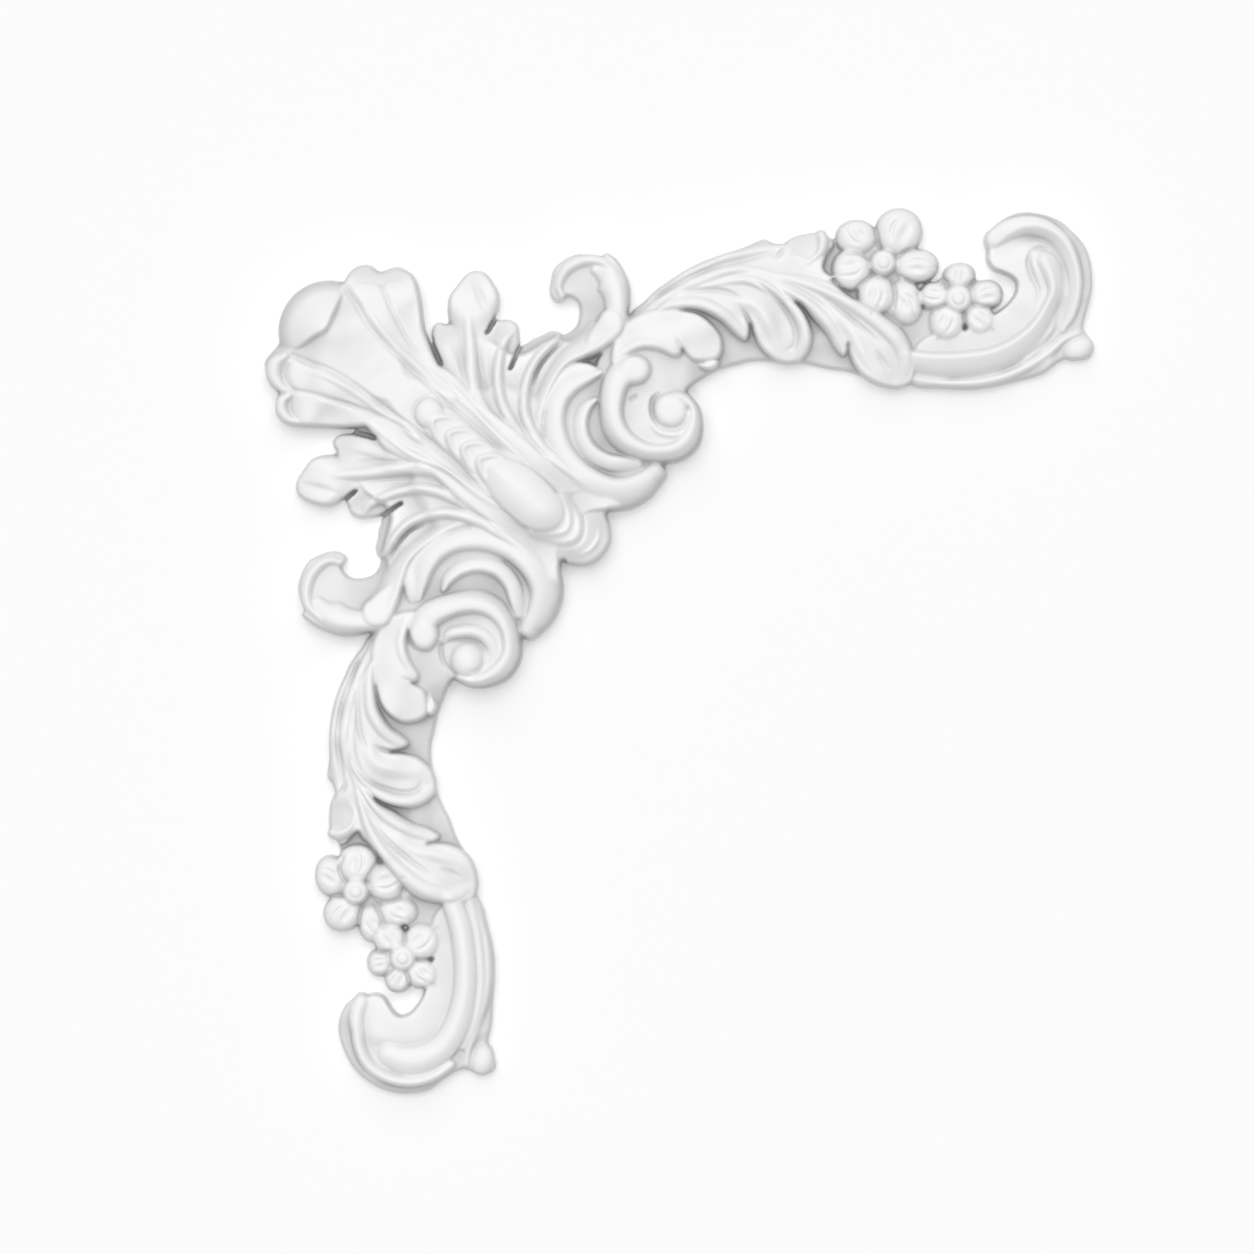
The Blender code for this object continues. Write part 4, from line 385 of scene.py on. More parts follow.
def bead_and_husks(r):
    """The bead, the nested husks and the cabochon on the diagonal."""
    r.sheet([(-22.6, 15), (-21, 17.4), (-19.4, 20.4), (-17, 22.4), (-13, 21.6), (-6, 14.4), (0, 8.4),
             (8, 3), (-3, -8), (-8.8, -1.2), (-13, 5)], [(-20, 20, 14.8), (-10, 10, 15.6), (0, 0, 17.2)],
            1.2, -1.2, SOFT)
    for x, z, top in HUSKS:
        r.sheet([(x, z), (x + 2.8, z + 1.1), (x + 7, z + 0.9), (x + 10.4, z - 2), (x + 12, z - 7),
                 (x + 6.4, z - 12), (x + 3.4, z - 9.8), (x + 0.9, z - 6.6), (x - 0.3, z - 2.9)],
                [(x + 1, z - 1, top), (x + 5, z - 5, top - 1.3), (x + 7, z - 1, top - 0.9),
                 (x + 1, z - 6, top - 0.9), (x + 9, z - 9, top - 3)], 1.0, -1.1, ROUND, blend=0.15, reach=3)
        r.swell([(x + 9.6, z - 1.8), (x + 6.4, z - 0.1), (x + 2.8, z), (x + 1, z - 0.9), (x + 0.8, z - 2.9),
                 (x + 1.8, z - 6), (x + 3.8, z - 8.8)], (0.8, 1.1, 1.1, 0.8), (0, 0.7, 0.8, 0.7, 0))
    r.dome((-20.6, 21), (4.7, 4.7), 0, 17, 15.2, CUSHION, blend=0.15)
    r.cut([(-17.4, 25.6), (-21, 26.2), (-24.4, 24.2), (-25.6, 21), (-24.4, 17.6), (-22, 15.6)],
            (0.4, 0.6, 0.7, 0.6, 0.4), (0, 0.7, 1, 0.8, 0))
    r.sheet([(-4.4, 3.4), (0, 4.8), (5, 3.8), (10, 0.8), (14.2, -3.4), (17.6, -8), (19.3, -12.4),
             (18.8, -16.2), (16.2, -18.8), (12, -19.4), (7, -17.8), (2, -13.4), (-2.4, -8), (-4.6, -2)],
            [(-2, 2, 19.6), (2, -2, 20.6), (7, -7, 21.4), (12, -12, 21), (16, -16, 19.8)], 8, 17.2,
            (2.2, 0.9), blend=0.2)


def collars(r):
    """Three nested collars below the cabochon."""
    r.sheet([(14, -8), (24, -6), (30, -8), (34, -12), (33.2, -16), (34, -20.4), (33.4, -25.2),
             (29.8, -29.8), (24.8, -31.9), (19, -31), (17.4, -29.8), (12, -34), (8, -30), (6, -24),
             (8, -14)],
            [(17, -17, 17), (22, -22, 15.8), (30, -28, 9.6), (33, -20, 9.6), (20, -31, 9.6), (27, -25, 13),
             (27, -16, 13), (16, -26, 13), (31, -11, 10), (11, -31, 10)], 1.4, -1.8, ROUND, reach=3.4)
    r.swell([(21.4, -10.4), (23.4, -14.6), (23.8, -19), (22.4, -22.4), (18.6, -23.6), (13, -22.4)],
            (0.8, 1.3, 1.3, 0.8), (0, 0.8, 0.8, 0))
    r.cut([(22.8, -10.6), (25.2, -15), (25.4, -20), (23.6, -24), (19, -25.4), (13.6, -24)],
            (0.5, 0.9, 0.9, 0.5), (0, 0.6, 0.6, 0))
    r.swell([(19.4, -9), (20.8, -13), (21, -17), (19.8, -19.8), (16.6, -20.8), (12, -20.6)],
            (0.7, 1, 1, 0.7), (0, 0.7, 0.7, 0))
    r.swell([(30.4, -19), (29.4, -23.6), (26.6, -26.8), (22.6, -28.4)], (0.6, 0.9, 0.9, 0.6),
            (0, 0.8, 0.8, 0))


def ground(r):
    """The low ground that joins the scrolls and leaves of an arm."""
    r.sheet([(38, 15), (39, 24), (40, 32), (46, 42), (60, 50), (80, 58), (95, 60), (104, 62.4),
             (112.4, 65.6), (116.6, 63.6), (118, 58), (120, 50), (122, 46), (134, 42), (143, 40), (150, 34),
             (158, 34), (168, 42), (172, 50), (182, 36), (176, 24), (160, 16), (140, 16), (128, 18),
             (119, 20.5), (113.8, 22.7), (107.4, 24.3), (100.5, 26.4), (92, 27.5), (88, 28.3), (83, 28.8),
             (78, 28), (72.7, 26.9), (68, 24.9), (64, 22.8), (62.2, 20.6), (63, 14), (60, 6), (52, 3),
             (44, 5)],
            [(66, 33, 9), (75, 39, 6.4), (79, 35, 6), (68, 26, 6.4), (73, 28.6, 4.4), (84, 30.4, 4.2),
             (92, 29.4, 4.2), (102, 41, 2.4), (105, 35, 6), (106, 27, 4.4), (114, 25, 4), (83.6, 38.6, 2),
             (43.6, 17, 11.6), (48, 14, 13), (50, 9, 13), (45, 24, 11.6), (52, 25, 11.8), (60, 27, 10.6),
             (54, 32, 11.6), (60, 33, 9), (150, 28, 5), (90, 50, 7), (111, 60, 3), (116, 62, 3)], 1.0, -1.4,
            SOFT, reach=3.4)


def body(r):
    """The mass under the leaves and scrolls of one arm."""
    r.sheet([(-19, 41), (-13, 46), (0, 44), (9, 38), (20, 42), (30, 41), (43, 46), (50, 49.5), (60, 55),
             (75, 60), (92, 63), (104, 61), (112, 52), (118, 42), (124, 34), (112, 38), (100, 46), (88, 44),
             (78, 48), (66, 48), (56, 44), (48, 37), (43, 30), (39, 20), (40, 10), (46, 5), (52.2, 1),
             (51, -4), (46, -9), (40, -14.4), (32.6, -15.4), (27, -16), (20, -20), (0, -12), (-8, 4),
             (-16, 24)],
            [(-4, 38, 9), (4, 18, 12), (14, 2, 14), (12, 34, 9), (28, 38, 8), (28, 24, 10.5),
             (30.6, 12, 11.4), (30.6, 17, 11.4), (33.8, 15, 7.6), (33.4, 21, 7.6), (34.8, 9, 8), (38, 3, 8),
             (44, -5, 10), (48.6, -0.4, 8), (38.6, 31.6, 11), (50, 46, 10), (66, 53, 10), (86, 56, 10.5),
             (104, 50, 10), (20, 10, 12), (27, -10, 13), (-17, 42, 4.6), (-16, 38, 7), (32, 33, 7),
             (37.6, 33, 11)], 1.6, 3, SOFT, reach=3.6)


def side_leaf(r):
    """The leaf beside the palmette: a tall middle lobe between two small ones, ribbed down to the husks."""
    r.sheet([(-15.4, 36.3), (-16.9, 42), (-18, 46), (-17, 49.2), (-15, 50.2), (-12.4, 49.4), (-12.2, 53.9),
             (-11.2, 58), (-8.2, 61.6), (-5, 64.7), (-2.2, 65.5), (0.8, 64.6), (3.2, 61.3), (4.8, 57),
             (4.6, 53), (3.2, 49.8), (5, 49), (7.5, 49), (9.9, 47), (10.2, 43), (9.9, 39.8), (7.6, 35),
             (6.6, 26), (8, 16), (13, 8), (6, 4), (-4, 12), (-12, 24)],
            [(-4, 65, 6.6), (-4, 60, 9), (-4, 54, 10), (-16, 47, 6.6), (-13, 40, 8.4), (7, 46, 6),
             (6, 38, 4.6), (-4, 42, 9.4), (-1, 40, 7.6), (-4, 30, 11), (0, 31, 8.2), (6, 30, 5.4),
             (5.4, 24, 7.2), (3, 20, 10.6), (7, 9, 13.6)], 1.2, -1.9, ROUND, reach=3.6)
    r.swell([(-5.6, 52), (-5.8, 47), (-5.8, 40), (-6, 33), (-5.4, 27), (-3, 20.6), (1, 13.6), (5, 8)],
            (1.2, 1.8, 2, 2, 1.8, 1.4), (0, 1.6, 2.6, 2.8, 2.2, 0.6), TUBE)
    r.swell([(8.4, 45), (5.6, 42.4), (3.6, 38), (2.2, 32), (2.1, 26), (3.6, 19.6), (7.4, 12.4), (13, 5)],
            (0.9, 1.5, 1.7, 1.8, 1.8, 1.4), (0.3, 2.2, 3, 3, 2.2, 0.4), TUBE)
    r.swell([(-14, 46), (-13, 40), (-10.8, 33), (-7, 25.6), (-3.6, 20)], (1.6, 2.2, 1.6, 1), (0, 1, 1, 0),
            TUBE)
    r.cut([(-9.4, 46), (-9.2, 39), (-8.6, 32), (-6, 25)], (0.8, 1.1, 1), (0, 1, 0))
    r.cut([(-3, 46.4), (-3.2, 39), (-2.8, 32), (-1, 25), (2.4, 18)], (0.9, 1.2, 1.2), (0, 1.2, 0.2))
    r.cut([(0.6, 38), (0.1, 33), (0.3, 27), (1.8, 21)], (0.7, 0.9, 0.7), (0, 0.9, 0))
    r.cut([(-3, 62), (-1.2, 56.6), (0.6, 51)], (1.4, 2, 1.2), (0.2, 0.9, 0.2))
    r.slit([(3.4, 50.2), (1.4, 47.4), (-0.2, 45)], (0.6, 0.6, 0.4))
    r.cut([(-12.2, 49.8), (-10.6, 48.2)], (0.8, 0.5), (4, 0.4))
    r.slit([(10.4, 40.4), (8.6, 37.2), (6.3, 33)], (0.6, 0.6, 0.4))
    r.slit([(-18.9, 46.4), (-18, 43), (-16.9, 39.6), (-15.8, 36.6)], (0.5, 0.5, 0.7, 0.6))


def rib_fan(r):
    """The fine ribs between the palmette and the side leaf."""
    r.sheet([(-20, 39), (-16, 36), (-12, 33), (-4, 23.4), (6, 13.6), (16, 3.6), (28, -6), (24, -9),
             (15, -9), (9, -4), (2, 7), (-8, 17), (-18, 27), (-22, 33)],
            [(-20, 36, 11.6), (-14, 28, 13.2), (-5, 17, 14.8), (5, 7, 16.2), (12, 1, 16.6), (18, -4, 14.8),
             (25, -5, 12.6)], 1.6, -1, SOFT, reach=5)
    r.swell([(-20, 37.4), (-16, 33), (-10, 26), (-3, 17), (4, 9), (12, 1)], (0.7, 1, 1, 0.6),
            (0, 0.9, 0.9, 0))
    r.swell([(-19.6, 34), (-14, 28.4), (-7, 20.4), (0, 12.2), (7, 4.6), (15, -3)], (0.7, 1, 1, 0.6),
            (0, 0.9, 0.9, 0))


def fan_lobe(r):
    """The low lobe that leans on the stem, with one long rib."""
    r.sheet([(10.2, 39.8), (12.2, 41), (14.5, 42.4), (17, 43.1), (20, 44.3), (22.8, 43.8), (23.8, 42.4),
             (26, 40), (24, 34), (19, 28), (15, 20), (16, 10), (24, 0), (29, -6), (22, -5), (14, 3),
             (8, 14), (5.5, 26), (6.8, 33.3)],
            [(20, 44, 3.6), (12, 41, 3.4), (16, 39, 5), (21, 41, 5), (8, 31, 5.2), (24, 38, 4.8),
             (11, 34, 5.2), (18, 34, 6.2), (7, 24, 7.4), (14, 26, 8.6), (12, 12, 12.6), (22, -1, 14)], 1.0,
            -1.2, SOFT, reach=3.4)
    r.swell([(23.6, 43), (20.2, 40), (16, 36.4), (13, 32.4), (11, 28), (9.9, 23), (9.8, 18), (11.6, 12.4),
             (15, 6.8), (20, 1), (25, -3.6), (30, -7)], (0.8, 1.4, 1.6, 1.7, 1.8, 1.8, 1.6, 1.2),
            (1.4, 3.2, 3.6, 3.4, 3, 2.4, 1.6, 0), TUBE)
    r.cut([(24.2, 40.6), (20.2, 37.6), (16.8, 34.4), (14.4, 31), (13, 27.2)], (0.5, 0.6, 0.6, 0.6, 0.4),
            (1, 2.4, 3.4, 3, 1), ROUND)


def stem(r):
    """The leaf stem that rises beside the inner scroll and turns up into the hook."""
    r.crest([(13.4, 12), (14.4, 18), (16.6, 23.4), (20.2, 29.4), (24.4, 33.6), (30.2, 36), (35.6, 38.2),
             (40, 41.6), (41.2, 45.4)], (2, 2.4, 3, 4, 5, 6.6, 8, 7, 3),
            (1.6, 1.4, 1.2, 1.2, 1.4, 1.6, 1.8, 2.2, 2.2),
            (13.4, 13.4, 13.4, 13.4, 13.6, 13.8, 14.6, 15, 14.8),
            ((11.6, 10.4, 9, 7, 5.6, 5.6, 7, 9.5, 11), (12.8, 12.8, 12.8, 12.6, 12.2, 12, 12, 12, 12.6)),
            (SLOPE, ROUND))
    r.sheet([(31, 39), (35.4, 46), (37.4, 48.6), (40.4, 49.2), (42.8, 47.4), (43.4, 44), (42, 40.6),
             (37, 37.6)], [(34, 41, 12.6), (39, 46, 14.4), (41, 42, 15.2), (37, 38.6, 14.4)], 1.2, -1.4,
            ROUND, reach=3)


def stem_gap(r):
    """What lies under the stem: a deep three-cornered gap, or the broad shoulder of the left arm's leaf."""
    if r.left_arm:
        r.shifted = False
        r.dome((32.6, 31), (6.6, 2.7), 0, 12.4, 10.4)
        r.shifted = True
        return
    r.scoop([(28.4, 33.3), (32, 34.4), (36, 35.6), (34.4, 33), (33.8, 31.2), (32.2, 32.2), (30, 33)],
            [(32, 33, 3)], 0.6)


def lobe_four(r):
    """The small leaf between the stem and the outer scroll."""
    r.sheet([(15.6, 19), (17.4, 23.8), (20.6, 28.8), (24.2, 32), (27.6, 33.3), (31.4, 32.6), (34.4, 30.8),
             (36.2, 29.8), (35.4, 28.8), (31, 26.6), (26, 24.6), (22, 21), (19, 16)],
            [(18, 20, 12.8), (22, 27, 12.4), (27, 31, 11.6), (34, 30, 11.4), (28, 28, 12.8)], 1.0, -1.6,
            ROUND, reach=3)


def hook(r):
    """The curled end of the stem: a dished basin behind a rolled rim, and a bright roll beside it."""
    r.sheet([(23.2, 42.3), (26, 43.4), (28.3, 45), (29.5, 47.8), (29.9, 51), (28.6, 53.4), (26.2, 54.3),
             (23.9, 52.6), (21.8, 53.7), (20.8, 56.7), (21.7, 60.6), (23.1, 64.1), (27, 66.8), (31, 67.9),
             (36, 67.2), (38.5, 66.6), (40.2, 67.5), (43.2, 65.1), (45.3, 61.3), (46.8, 56.2), (46.5, 51),
             (45.2, 47.6), (44, 41), (38, 36), (30, 34), (24, 36), (22, 40)],
            [(28, 59, 6.4), (26, 56, 7), (27, 64, 7.6), (33, 60, 8.6), (31, 50, 4.6), (33, 54, 7.6),
             (36, 54, 9.2), (34, 47, 7), (26, 42, 3.6), (31, 42, 7.6), (28, 38, 7.4), (36, 43, 10),
             (42, 58, 10), (42, 48, 10)], 1.1, -1.8, ROUND, reach=3.4)
    r.crest([(24.8, 54.4), (23.8, 57.5), (25, 61), (28, 64), (33, 65.4), (38, 64.6), (42, 61)],
            (1.2, 1.4, 1.8, 2, 1.8), (1.2, 1.6, 2, 1.8, 1.4), (8.8, 9.6, 10.4, 11.2, 12),
            ((5, 4.6, 5, 6), (6.6, 6.8, 7.4, 9)))
    r.crest([(42.6, 44), (42.8, 49), (42.9, 53), (42.2, 57.4), (40, 60.6), (36.4, 62.2)],
            (4.4, 4.6, 5, 6, 5.4, 2), (2.6, 3, 3.2, 3.4, 3, 1.8), (13.6, 13.8, 13.6, 13.2, 12.2, 10.4),
            ((11, 10, 9.6, 9.6, 9.4, 8.6), (7, 6, 6, 6.4, 7, 7)), (CUSHION, ROUND))


def outer_scroll(r):
    """The outer C of the double scroll, from the tip beside the main volute to the round end below it."""
    r.crest([(35.2, 29.2), (30.4, 27.4), (25.8, 25.2), (22.2, 21.8), (20.3, 17), (20, 11.4), (21.6, 5.2),
             (25.6, -0.6), (31, -4.8), (37.4, -7.1), (44, -6.2), (49.4, -3.7)],
            (0.8, 1.6, 2, 2.2, 2.4, 2.8, 3, 3, 2.8, 2.6, 2.6, 3),
            (1, 3.4, 4.4, 4.4, 4.2, 4.8, 5.8, 7, 8.4, 8.4, 7, 4.4),
            (12, 13.4, 14.2, 14.6, 15, 15.2, 15.2, 15.2, 15, 14.2, 12.8, 11),
            ((9, 10, 10.6, 10.8, 10.8, 10.6, 10, 9), (10.6, 11, 12, 12.6, 13, 13.2, 13, 11.5, 8, 6, 6, 6)),
            (FULL, ARCH))
    r.swell([(12.6, 0.6), (18, -5), (24, -9)], (0.7, 0.9, 0.7), (0, 0.6, 0))


def inner_scroll(r):
    """The inner C of the double scroll."""
    r.crest([(32.6, 20.6), (30, 18.6), (28.2, 14.4), (28.2, 9.4), (30.6, 4.8), (35, 1.8), (40, 0.6),
             (44, -0.4)], (0.8, 1.5, 1.6, 1.8, 1.8, 1.7, 1.6, 1.4), (1.2, 2.6, 3.6, 4, 4.2, 4, 3.6, 3),
            (12.8, 13.6, 14, 14, 13.6, 12.8, 12, 11), ((9.6, 9.6, 9, 9), (10.6, 10.8, 10.8, 10, 9)),
            (TUBE, ARCH))


def main_volute(r):
    """The large volute with its eye. The left arm's has one whorl more."""
    r.crest([(46.2, 29.2), (42.4, 28.6), (39.6, 25.6), (38.2, 21), (37.8, 16), (38.7, 11), (41.8, 6.6),
             (46.6, 3.8), (51.6, 3), (56.4, 3.4), (60.4, 6), (62.9, 10.4), (63.4, 15), (61.6, 19)],
            (4.6, 4.6, 4.2, 3.6, 3, 3, 2.8, 2.2, 1.7, 1.8, 2, 1.8, 1.6, 1.2),
            (4.6, 4.6, 4.3, 4.3, 4.3, 4.7, 4.7, 4.6, 4.7, 4.9, 4.9, 3.6, 2.4, 1.6),
            (15.4, 16, 16.4, 16.6, 16.8, 16.8, 16.6, 16.2, 15.8, 15.6, 15.4, 15.2, 14.8, 14),
            ((11.6, 11.8, 12, 12.4, 12.6, 13, 13, 13), (13, 13, 13.4, 13.4, 12, 8, 5, 4, 4, 4, 4, 5, 6)),
            (FLAT, FALL))
    r.dome((45.6, 29.2), (5.3, 4.7), 0, 16.3, 13.8, FLAT, blend=0.8)
    if r.left_arm:
        left_whorl(r)
    else:
        r.crest([(49.4, 12.4), (51, 9.4), (54.6, 7.6), (58.6, 7.8), (61.4, 10.6), (62, 14)],
                (0.8, 1.2, 1.2, 1), (0.6, 1, 1, 0.8), (13, 14, 14.4, 14.6, 14.4, 14),
                ((12.6, 12.6), (12.6, 13)), blend=0.2)
        r.dome((56.2, 15.4), (5.4, 5.4), 0, 15.6, 14, FLAT, blend=0.15)
        r.crest([(61.8, 18), (59.4, 19.8), (56, 20.4)], (1.3, 1.2, 0.6), (1.2, 1.2, 0.6), (14.4, 14.6, 14),
                ((12.4, 12.4), (11, 11)))
        r.cut([(53.4, 21.2), (50.8, 19.4), (50.1, 16), (50.6, 12.8), (52, 10.6)], (0.5, 0.9, 1, 0.8, 0.4),
                (0.4, 2.6, 3.2, 2.2, 0.2))
        r.cut([(43.8, 19.8), (45.4, 20.7)], (0.8,), (1.3,))


def left_whorl(r):
    """The inner whorl and the ball of the left arm's volute, drawn at their own places."""
    r.shifted = False
    r.crest([(51.6, 22.6), (49.7, 20.2), (49, 16.6), (49.3, 12.4), (51.6, 8.6), (55.6, 6.6), (60, 7.6)],
            (1, 1.9, 2.2, 2.2, 2.2, 1.4), (1, 1.8, 2, 2, 1.8, 1), (13, 14.6, 15.2, 15.2, 14.8, 13.8, 13),
            ((13, 12.8, 12.8), (13, 12.6, 12.6)), (CUSHION, ARCH), blend=0.2)
    r.dome((58.6, 15.5), (5.4, 5.2), 0, 16.2, 13.6, CUSHION, blend=0.15)
    r.cut([(57, 10.4), (60.6, 11), (62.4, 13.4), (61.4, 16)], (0.6, 0.8, 0.8, 0.5), (0.3, 0.9, 0.9, 0))
    r.cut([(52, 20.6), (51.7, 16), (52.8, 12), (55, 9.9), (57.4, 9.2)], (0.6, 1, 1, 1, 0.6),
          (0.6, 1.8, 2.2, 1.8, 0.3))
    r.cut([(46.4, 33.3), (50, 33.2), (53.4, 31.4)], (0.5, 0.9, 0.6), (0.4, 3.4, 1.4))
    r.cut([(50.4, 22), (53.6, 23.4), (58, 23.2), (61.8, 20.9)], (0.8, 1, 1, 0.7), (0.8, 1.8, 1.6, 0.4))
    r.shifted = True


def helmet(r):
    """The first lobe of the arm's leaf, domed like a helmet over the volute."""
    r.sheet([(38.5, 31.8), (42, 32.6), (46, 34.8), (50, 35.4), (54.4, 34.4), (58.7, 32.2), (60.9, 32.8),
             (61.6, 34.2), (62.2, 33.4), (64, 31), (66.4, 30), (70, 29.8), (72.8, 30.6), (74.3, 33.5),
             (74.1, 37.7), (71.2, 42.2), (67.4, 45.4), (62, 47), (57, 48), (50, 47), (44, 44), (40, 39)],
            [(44, 42, 12), (52, 45, 12), (60, 45.6, 12), (67, 41, 13.6), (72, 33, 11), (45, 37.4, 14.2),
             (53, 40, 14.8), (60, 40, 14.6), (53, 36.4, 14), (66, 34, 12.6)], 1.2, -2, ROUND, reach=3.4)
    r.swell([(40, 33.8), (44, 36), (49, 37.4), (54, 36.4), (57.8, 34.4)], (1, 1.5, 1.5, 1),
            (0, 0.9, 0.9, 0), TUBE)
    r.cut([(59.8, 38.4), (60.4, 36.4), (61.4, 34.2)], (0.5, 0.7, 0.8), (0, 1, 1.8))
    r.cut([(61.6, 34.6), (61.7, 33.4), (61.6, 32.6)], (0.4, 0.6, 0.5), (0.6, 1.6, 0.6))
    r.sheet([(66, 29.2), (69, 30), (72.2, 30.2), (72.9, 29.2), (71.6, 27.6), (69.5, 27), (67.2, 27.8)],
            [(69.4, 28.8, 10.6)], 1, -1.6, ROUND)


def upper_leaf(r):
    """The long upper edge of the arm's leaf, and the curl at its end."""
    r.sheet([(44, 44), (46.6, 48.1), (50.3, 50.7), (55, 54.5), (59, 56.7), (64, 59.4), (70, 61.9),
             (77, 63.8), (84, 65.4), (87.7, 66.7), (91, 67.5), (93.3, 66.1), (96.5, 65.5), (99.4, 67.1),
             (103, 67.9), (108, 68), (112.3, 65.5), (112.6, 63), (110, 60), (108.8, 55.4), (112, 53),
             (104, 50), (90, 50), (70, 48), (54, 46)],
            [(48, 50, 6.4), (58, 56.4, 6.4), (70, 61.6, 6), (84, 65, 6), (91, 66.6, 6), (103, 67.4, 6.4),
             (110, 66, 6.4), (51, 48, 10.4), (62, 54.4, 11), (68, 57, 11.2), (73, 58.6, 11.2),
             (78, 59.4, 11.2), (84, 61, 11), (90, 62.6, 10.6), (103, 62.6, 9), (106, 56, 10.6),
             (96, 60, 10.6)], 1.0, -1.6, ROUND, reach=3)
    r.swell([(48, 48.4), (54, 52.8), (62, 57), (70, 60.4), (80, 62.9), (90, 64), (97, 64)],
            (0.8, 1.3, 1.4, 1.3, 1), (0.2, 1.2, 1.4, 1.2, 0.4), TUBE)
    r.cut([(50, 49), (58, 53.4), (68, 57.6), (76, 59.8), (84, 61), (92, 61.2)], (0.8, 1.3, 1.4, 1.3, 0.9),
            (0, 0.9, 1.1, 0.9, 0.2))
    r.swell([(50, 47.2), (58, 51.8), (66, 55.2), (74, 57.4), (81, 58.2), (88, 57.2)], (1, 1.6, 1.8, 1.6, 1),
            (0.2, 1.4, 1.8, 1.8, 0.4), TUBE)
    r.crest([(99, 57.6), (104, 59), (107.4, 61.6), (108.6, 65), (108.4, 67)], (1, 1.2, 1.3, 1.2),
            (1.4, 2.4, 2.8, 2.4), (10, 10.8, 10.8, 10.2, 9), ((8, 7.4, 7), (7.6, 6, 5)), (COVE, ROUND))
    r.cut([(92.6, 60.4), (95.4, 62), (97.8, 65)], (0.7, 1, 0.9), (0.2, 1.5, 0.6))


def lobe_a(r):
    """The arm leaf's second lobe: a small tip, then a long tongue with a rolled rim."""
    r.sheet([(52, 45), (57, 47), (63, 47.2), (69, 45.6), (74.6, 42), (78.6, 37.6), (81.4, 35.5),
             (83.2, 36.8), (83.9, 40), (84.6, 37.2), (86.3, 33), (89.5, 29.4), (93, 27.2), (96.7, 26.8),
             (99.5, 27.7), (102, 30.8), (103.3, 34.6), (102.9, 38.4), (101.8, 42), (99.9, 45.4), (96.4, 49),
             (92.2, 52.2), (86.6, 57.8), (80, 55.6), (70, 54.4), (60, 52)],
            [(60, 50, 12), (68, 51, 12), (76, 50, 11.8), (84, 50, 11.6), (74, 46, 12), (80, 40, 10.6),
             (88, 42, 11), (91, 33, 9.6), (96, 40, 9.6), (101, 36, 9.4), (97, 28, 8)], 1.1, -1.8, ROUND,
            reach=3.4)
    r.swell([(52, 46), (58, 48.2), (64, 48.8), (70, 47.8), (75.4, 44.4), (79.4, 40.2), (81.8, 37.2)],
            (1.2, 1.8, 2, 2, 1.8, 1.2), (0.2, 1.4, 2, 2, 1.4, 0.2), TUBE)
    r.swell([(66, 53.6), (76, 55), (84, 54.6), (90.4, 51.4), (95.8, 47), (99.4, 42.2), (101, 37.4),
             (100.6, 33), (98.6, 30), (96, 29)], (0.9, 1.4, 1.6, 1.9, 2, 2, 1.4),
            (0.2, 1.2, 1.8, 2.4, 2.4, 1.6, 0), TUBE)
    r.cut([(62, 52.4), (70, 52.6), (77, 51.4), (83, 48)], (0.7, 1.1, 1.1, 0.6), (0, 1.4, 1.4, 0.1))
    r.cut([(84, 56), (89.6, 51.2), (93.8, 46.8), (96.6, 41.6), (98, 37), (97.4, 32.8), (95, 31.4)],
            (0.7, 1, 1.1, 1, 0.8), (0.2, 1.6, 1.8, 1.6, 0.2))
    r.swell([(78, 49.4), (86, 46), (89.6, 40.6), (91.6, 33)], (2, 3, 3.4, 2.4), (0, 1.2, 1.6, 0.4))
    r.cut([(80.8, 46.4), (82.6, 43.6), (83.8, 40.4)], (0.5, 0.9, 1), (0, 2, 4), floor=4.4)


def lobe_b(r):
    """The arm leaf's last lobe, which crosses the band of the end scroll."""
    r.sheet([(86, 58.4), (95, 56), (105, 53.4), (111, 51), (117.6, 46), (122.2, 43.3), (126.9, 39.5),
             (130.8, 36), (133.3, 32.2), (134.9, 27.2), (135.3, 23.4), (134, 18.4), (131.6, 16.3),
             (129, 15.9), (125.8, 16.5), (121.8, 18.1), (118.7, 20.4), (115.9, 24.3), (114.5, 28.5),
             (114.4, 31.6), (113.9, 28.8), (112.2, 28), (109.8, 31), (107.6, 35.6), (103.6, 40.6),
             (99.6, 46), (92, 51)],
            [(92, 55, 11.6), (102, 50, 12), (112, 46, 11.8), (108, 40, 11), (111.4, 33, 9.6), (121, 38, 11),
             (119, 26, 10), (122, 22, 9.6), (129, 18, 7.6), (133, 26, 9), (127, 33, 10.4)], 1.1, -1.8,
            ROUND, reach=3.4)
    r.swell([(94, 51.6), (99, 48.6), (104.6, 43.6), (108.8, 38.2), (111.6, 33), (113, 29.4)],
            (1, 1.6, 1.7, 1.5, 0.8), (0.2, 1.4, 1.6, 1.2, 0.1), TUBE)
    r.swell([(96, 54.4), (104, 51), (112, 46.8), (119, 42), (125.4, 36.6), (130.4, 30.6), (132, 25),
             (130.6, 19.6)], (0.9, 1.4, 1.8, 2.3, 2.5, 2.3, 1.6), (0.2, 1.4, 1.9, 2, 2, 1.5, 0.3), TUBE)
    r.cut([(94, 53.4), (99, 50.2), (104, 47), (109, 42.8)], (0.7, 1, 1, 0.6), (0, 1.3, 1.3, 0))
    r.cut([(106, 48.2), (112, 43.2), (118, 37.4), (124.6, 30.8)], (0.7, 1, 1, 0.6), (0, 1.6, 1.6, 0))
    r.cut([(122.6, 29), (124.8, 25), (127.2, 21.2)], (1, 1.5, 1), (0, 1, 0))
    r.swell([(110, 42), (115, 36), (118.4, 29), (122, 22)], (1.8, 2.6, 2.8, 2), (0, 1, 1.2, 0.2))


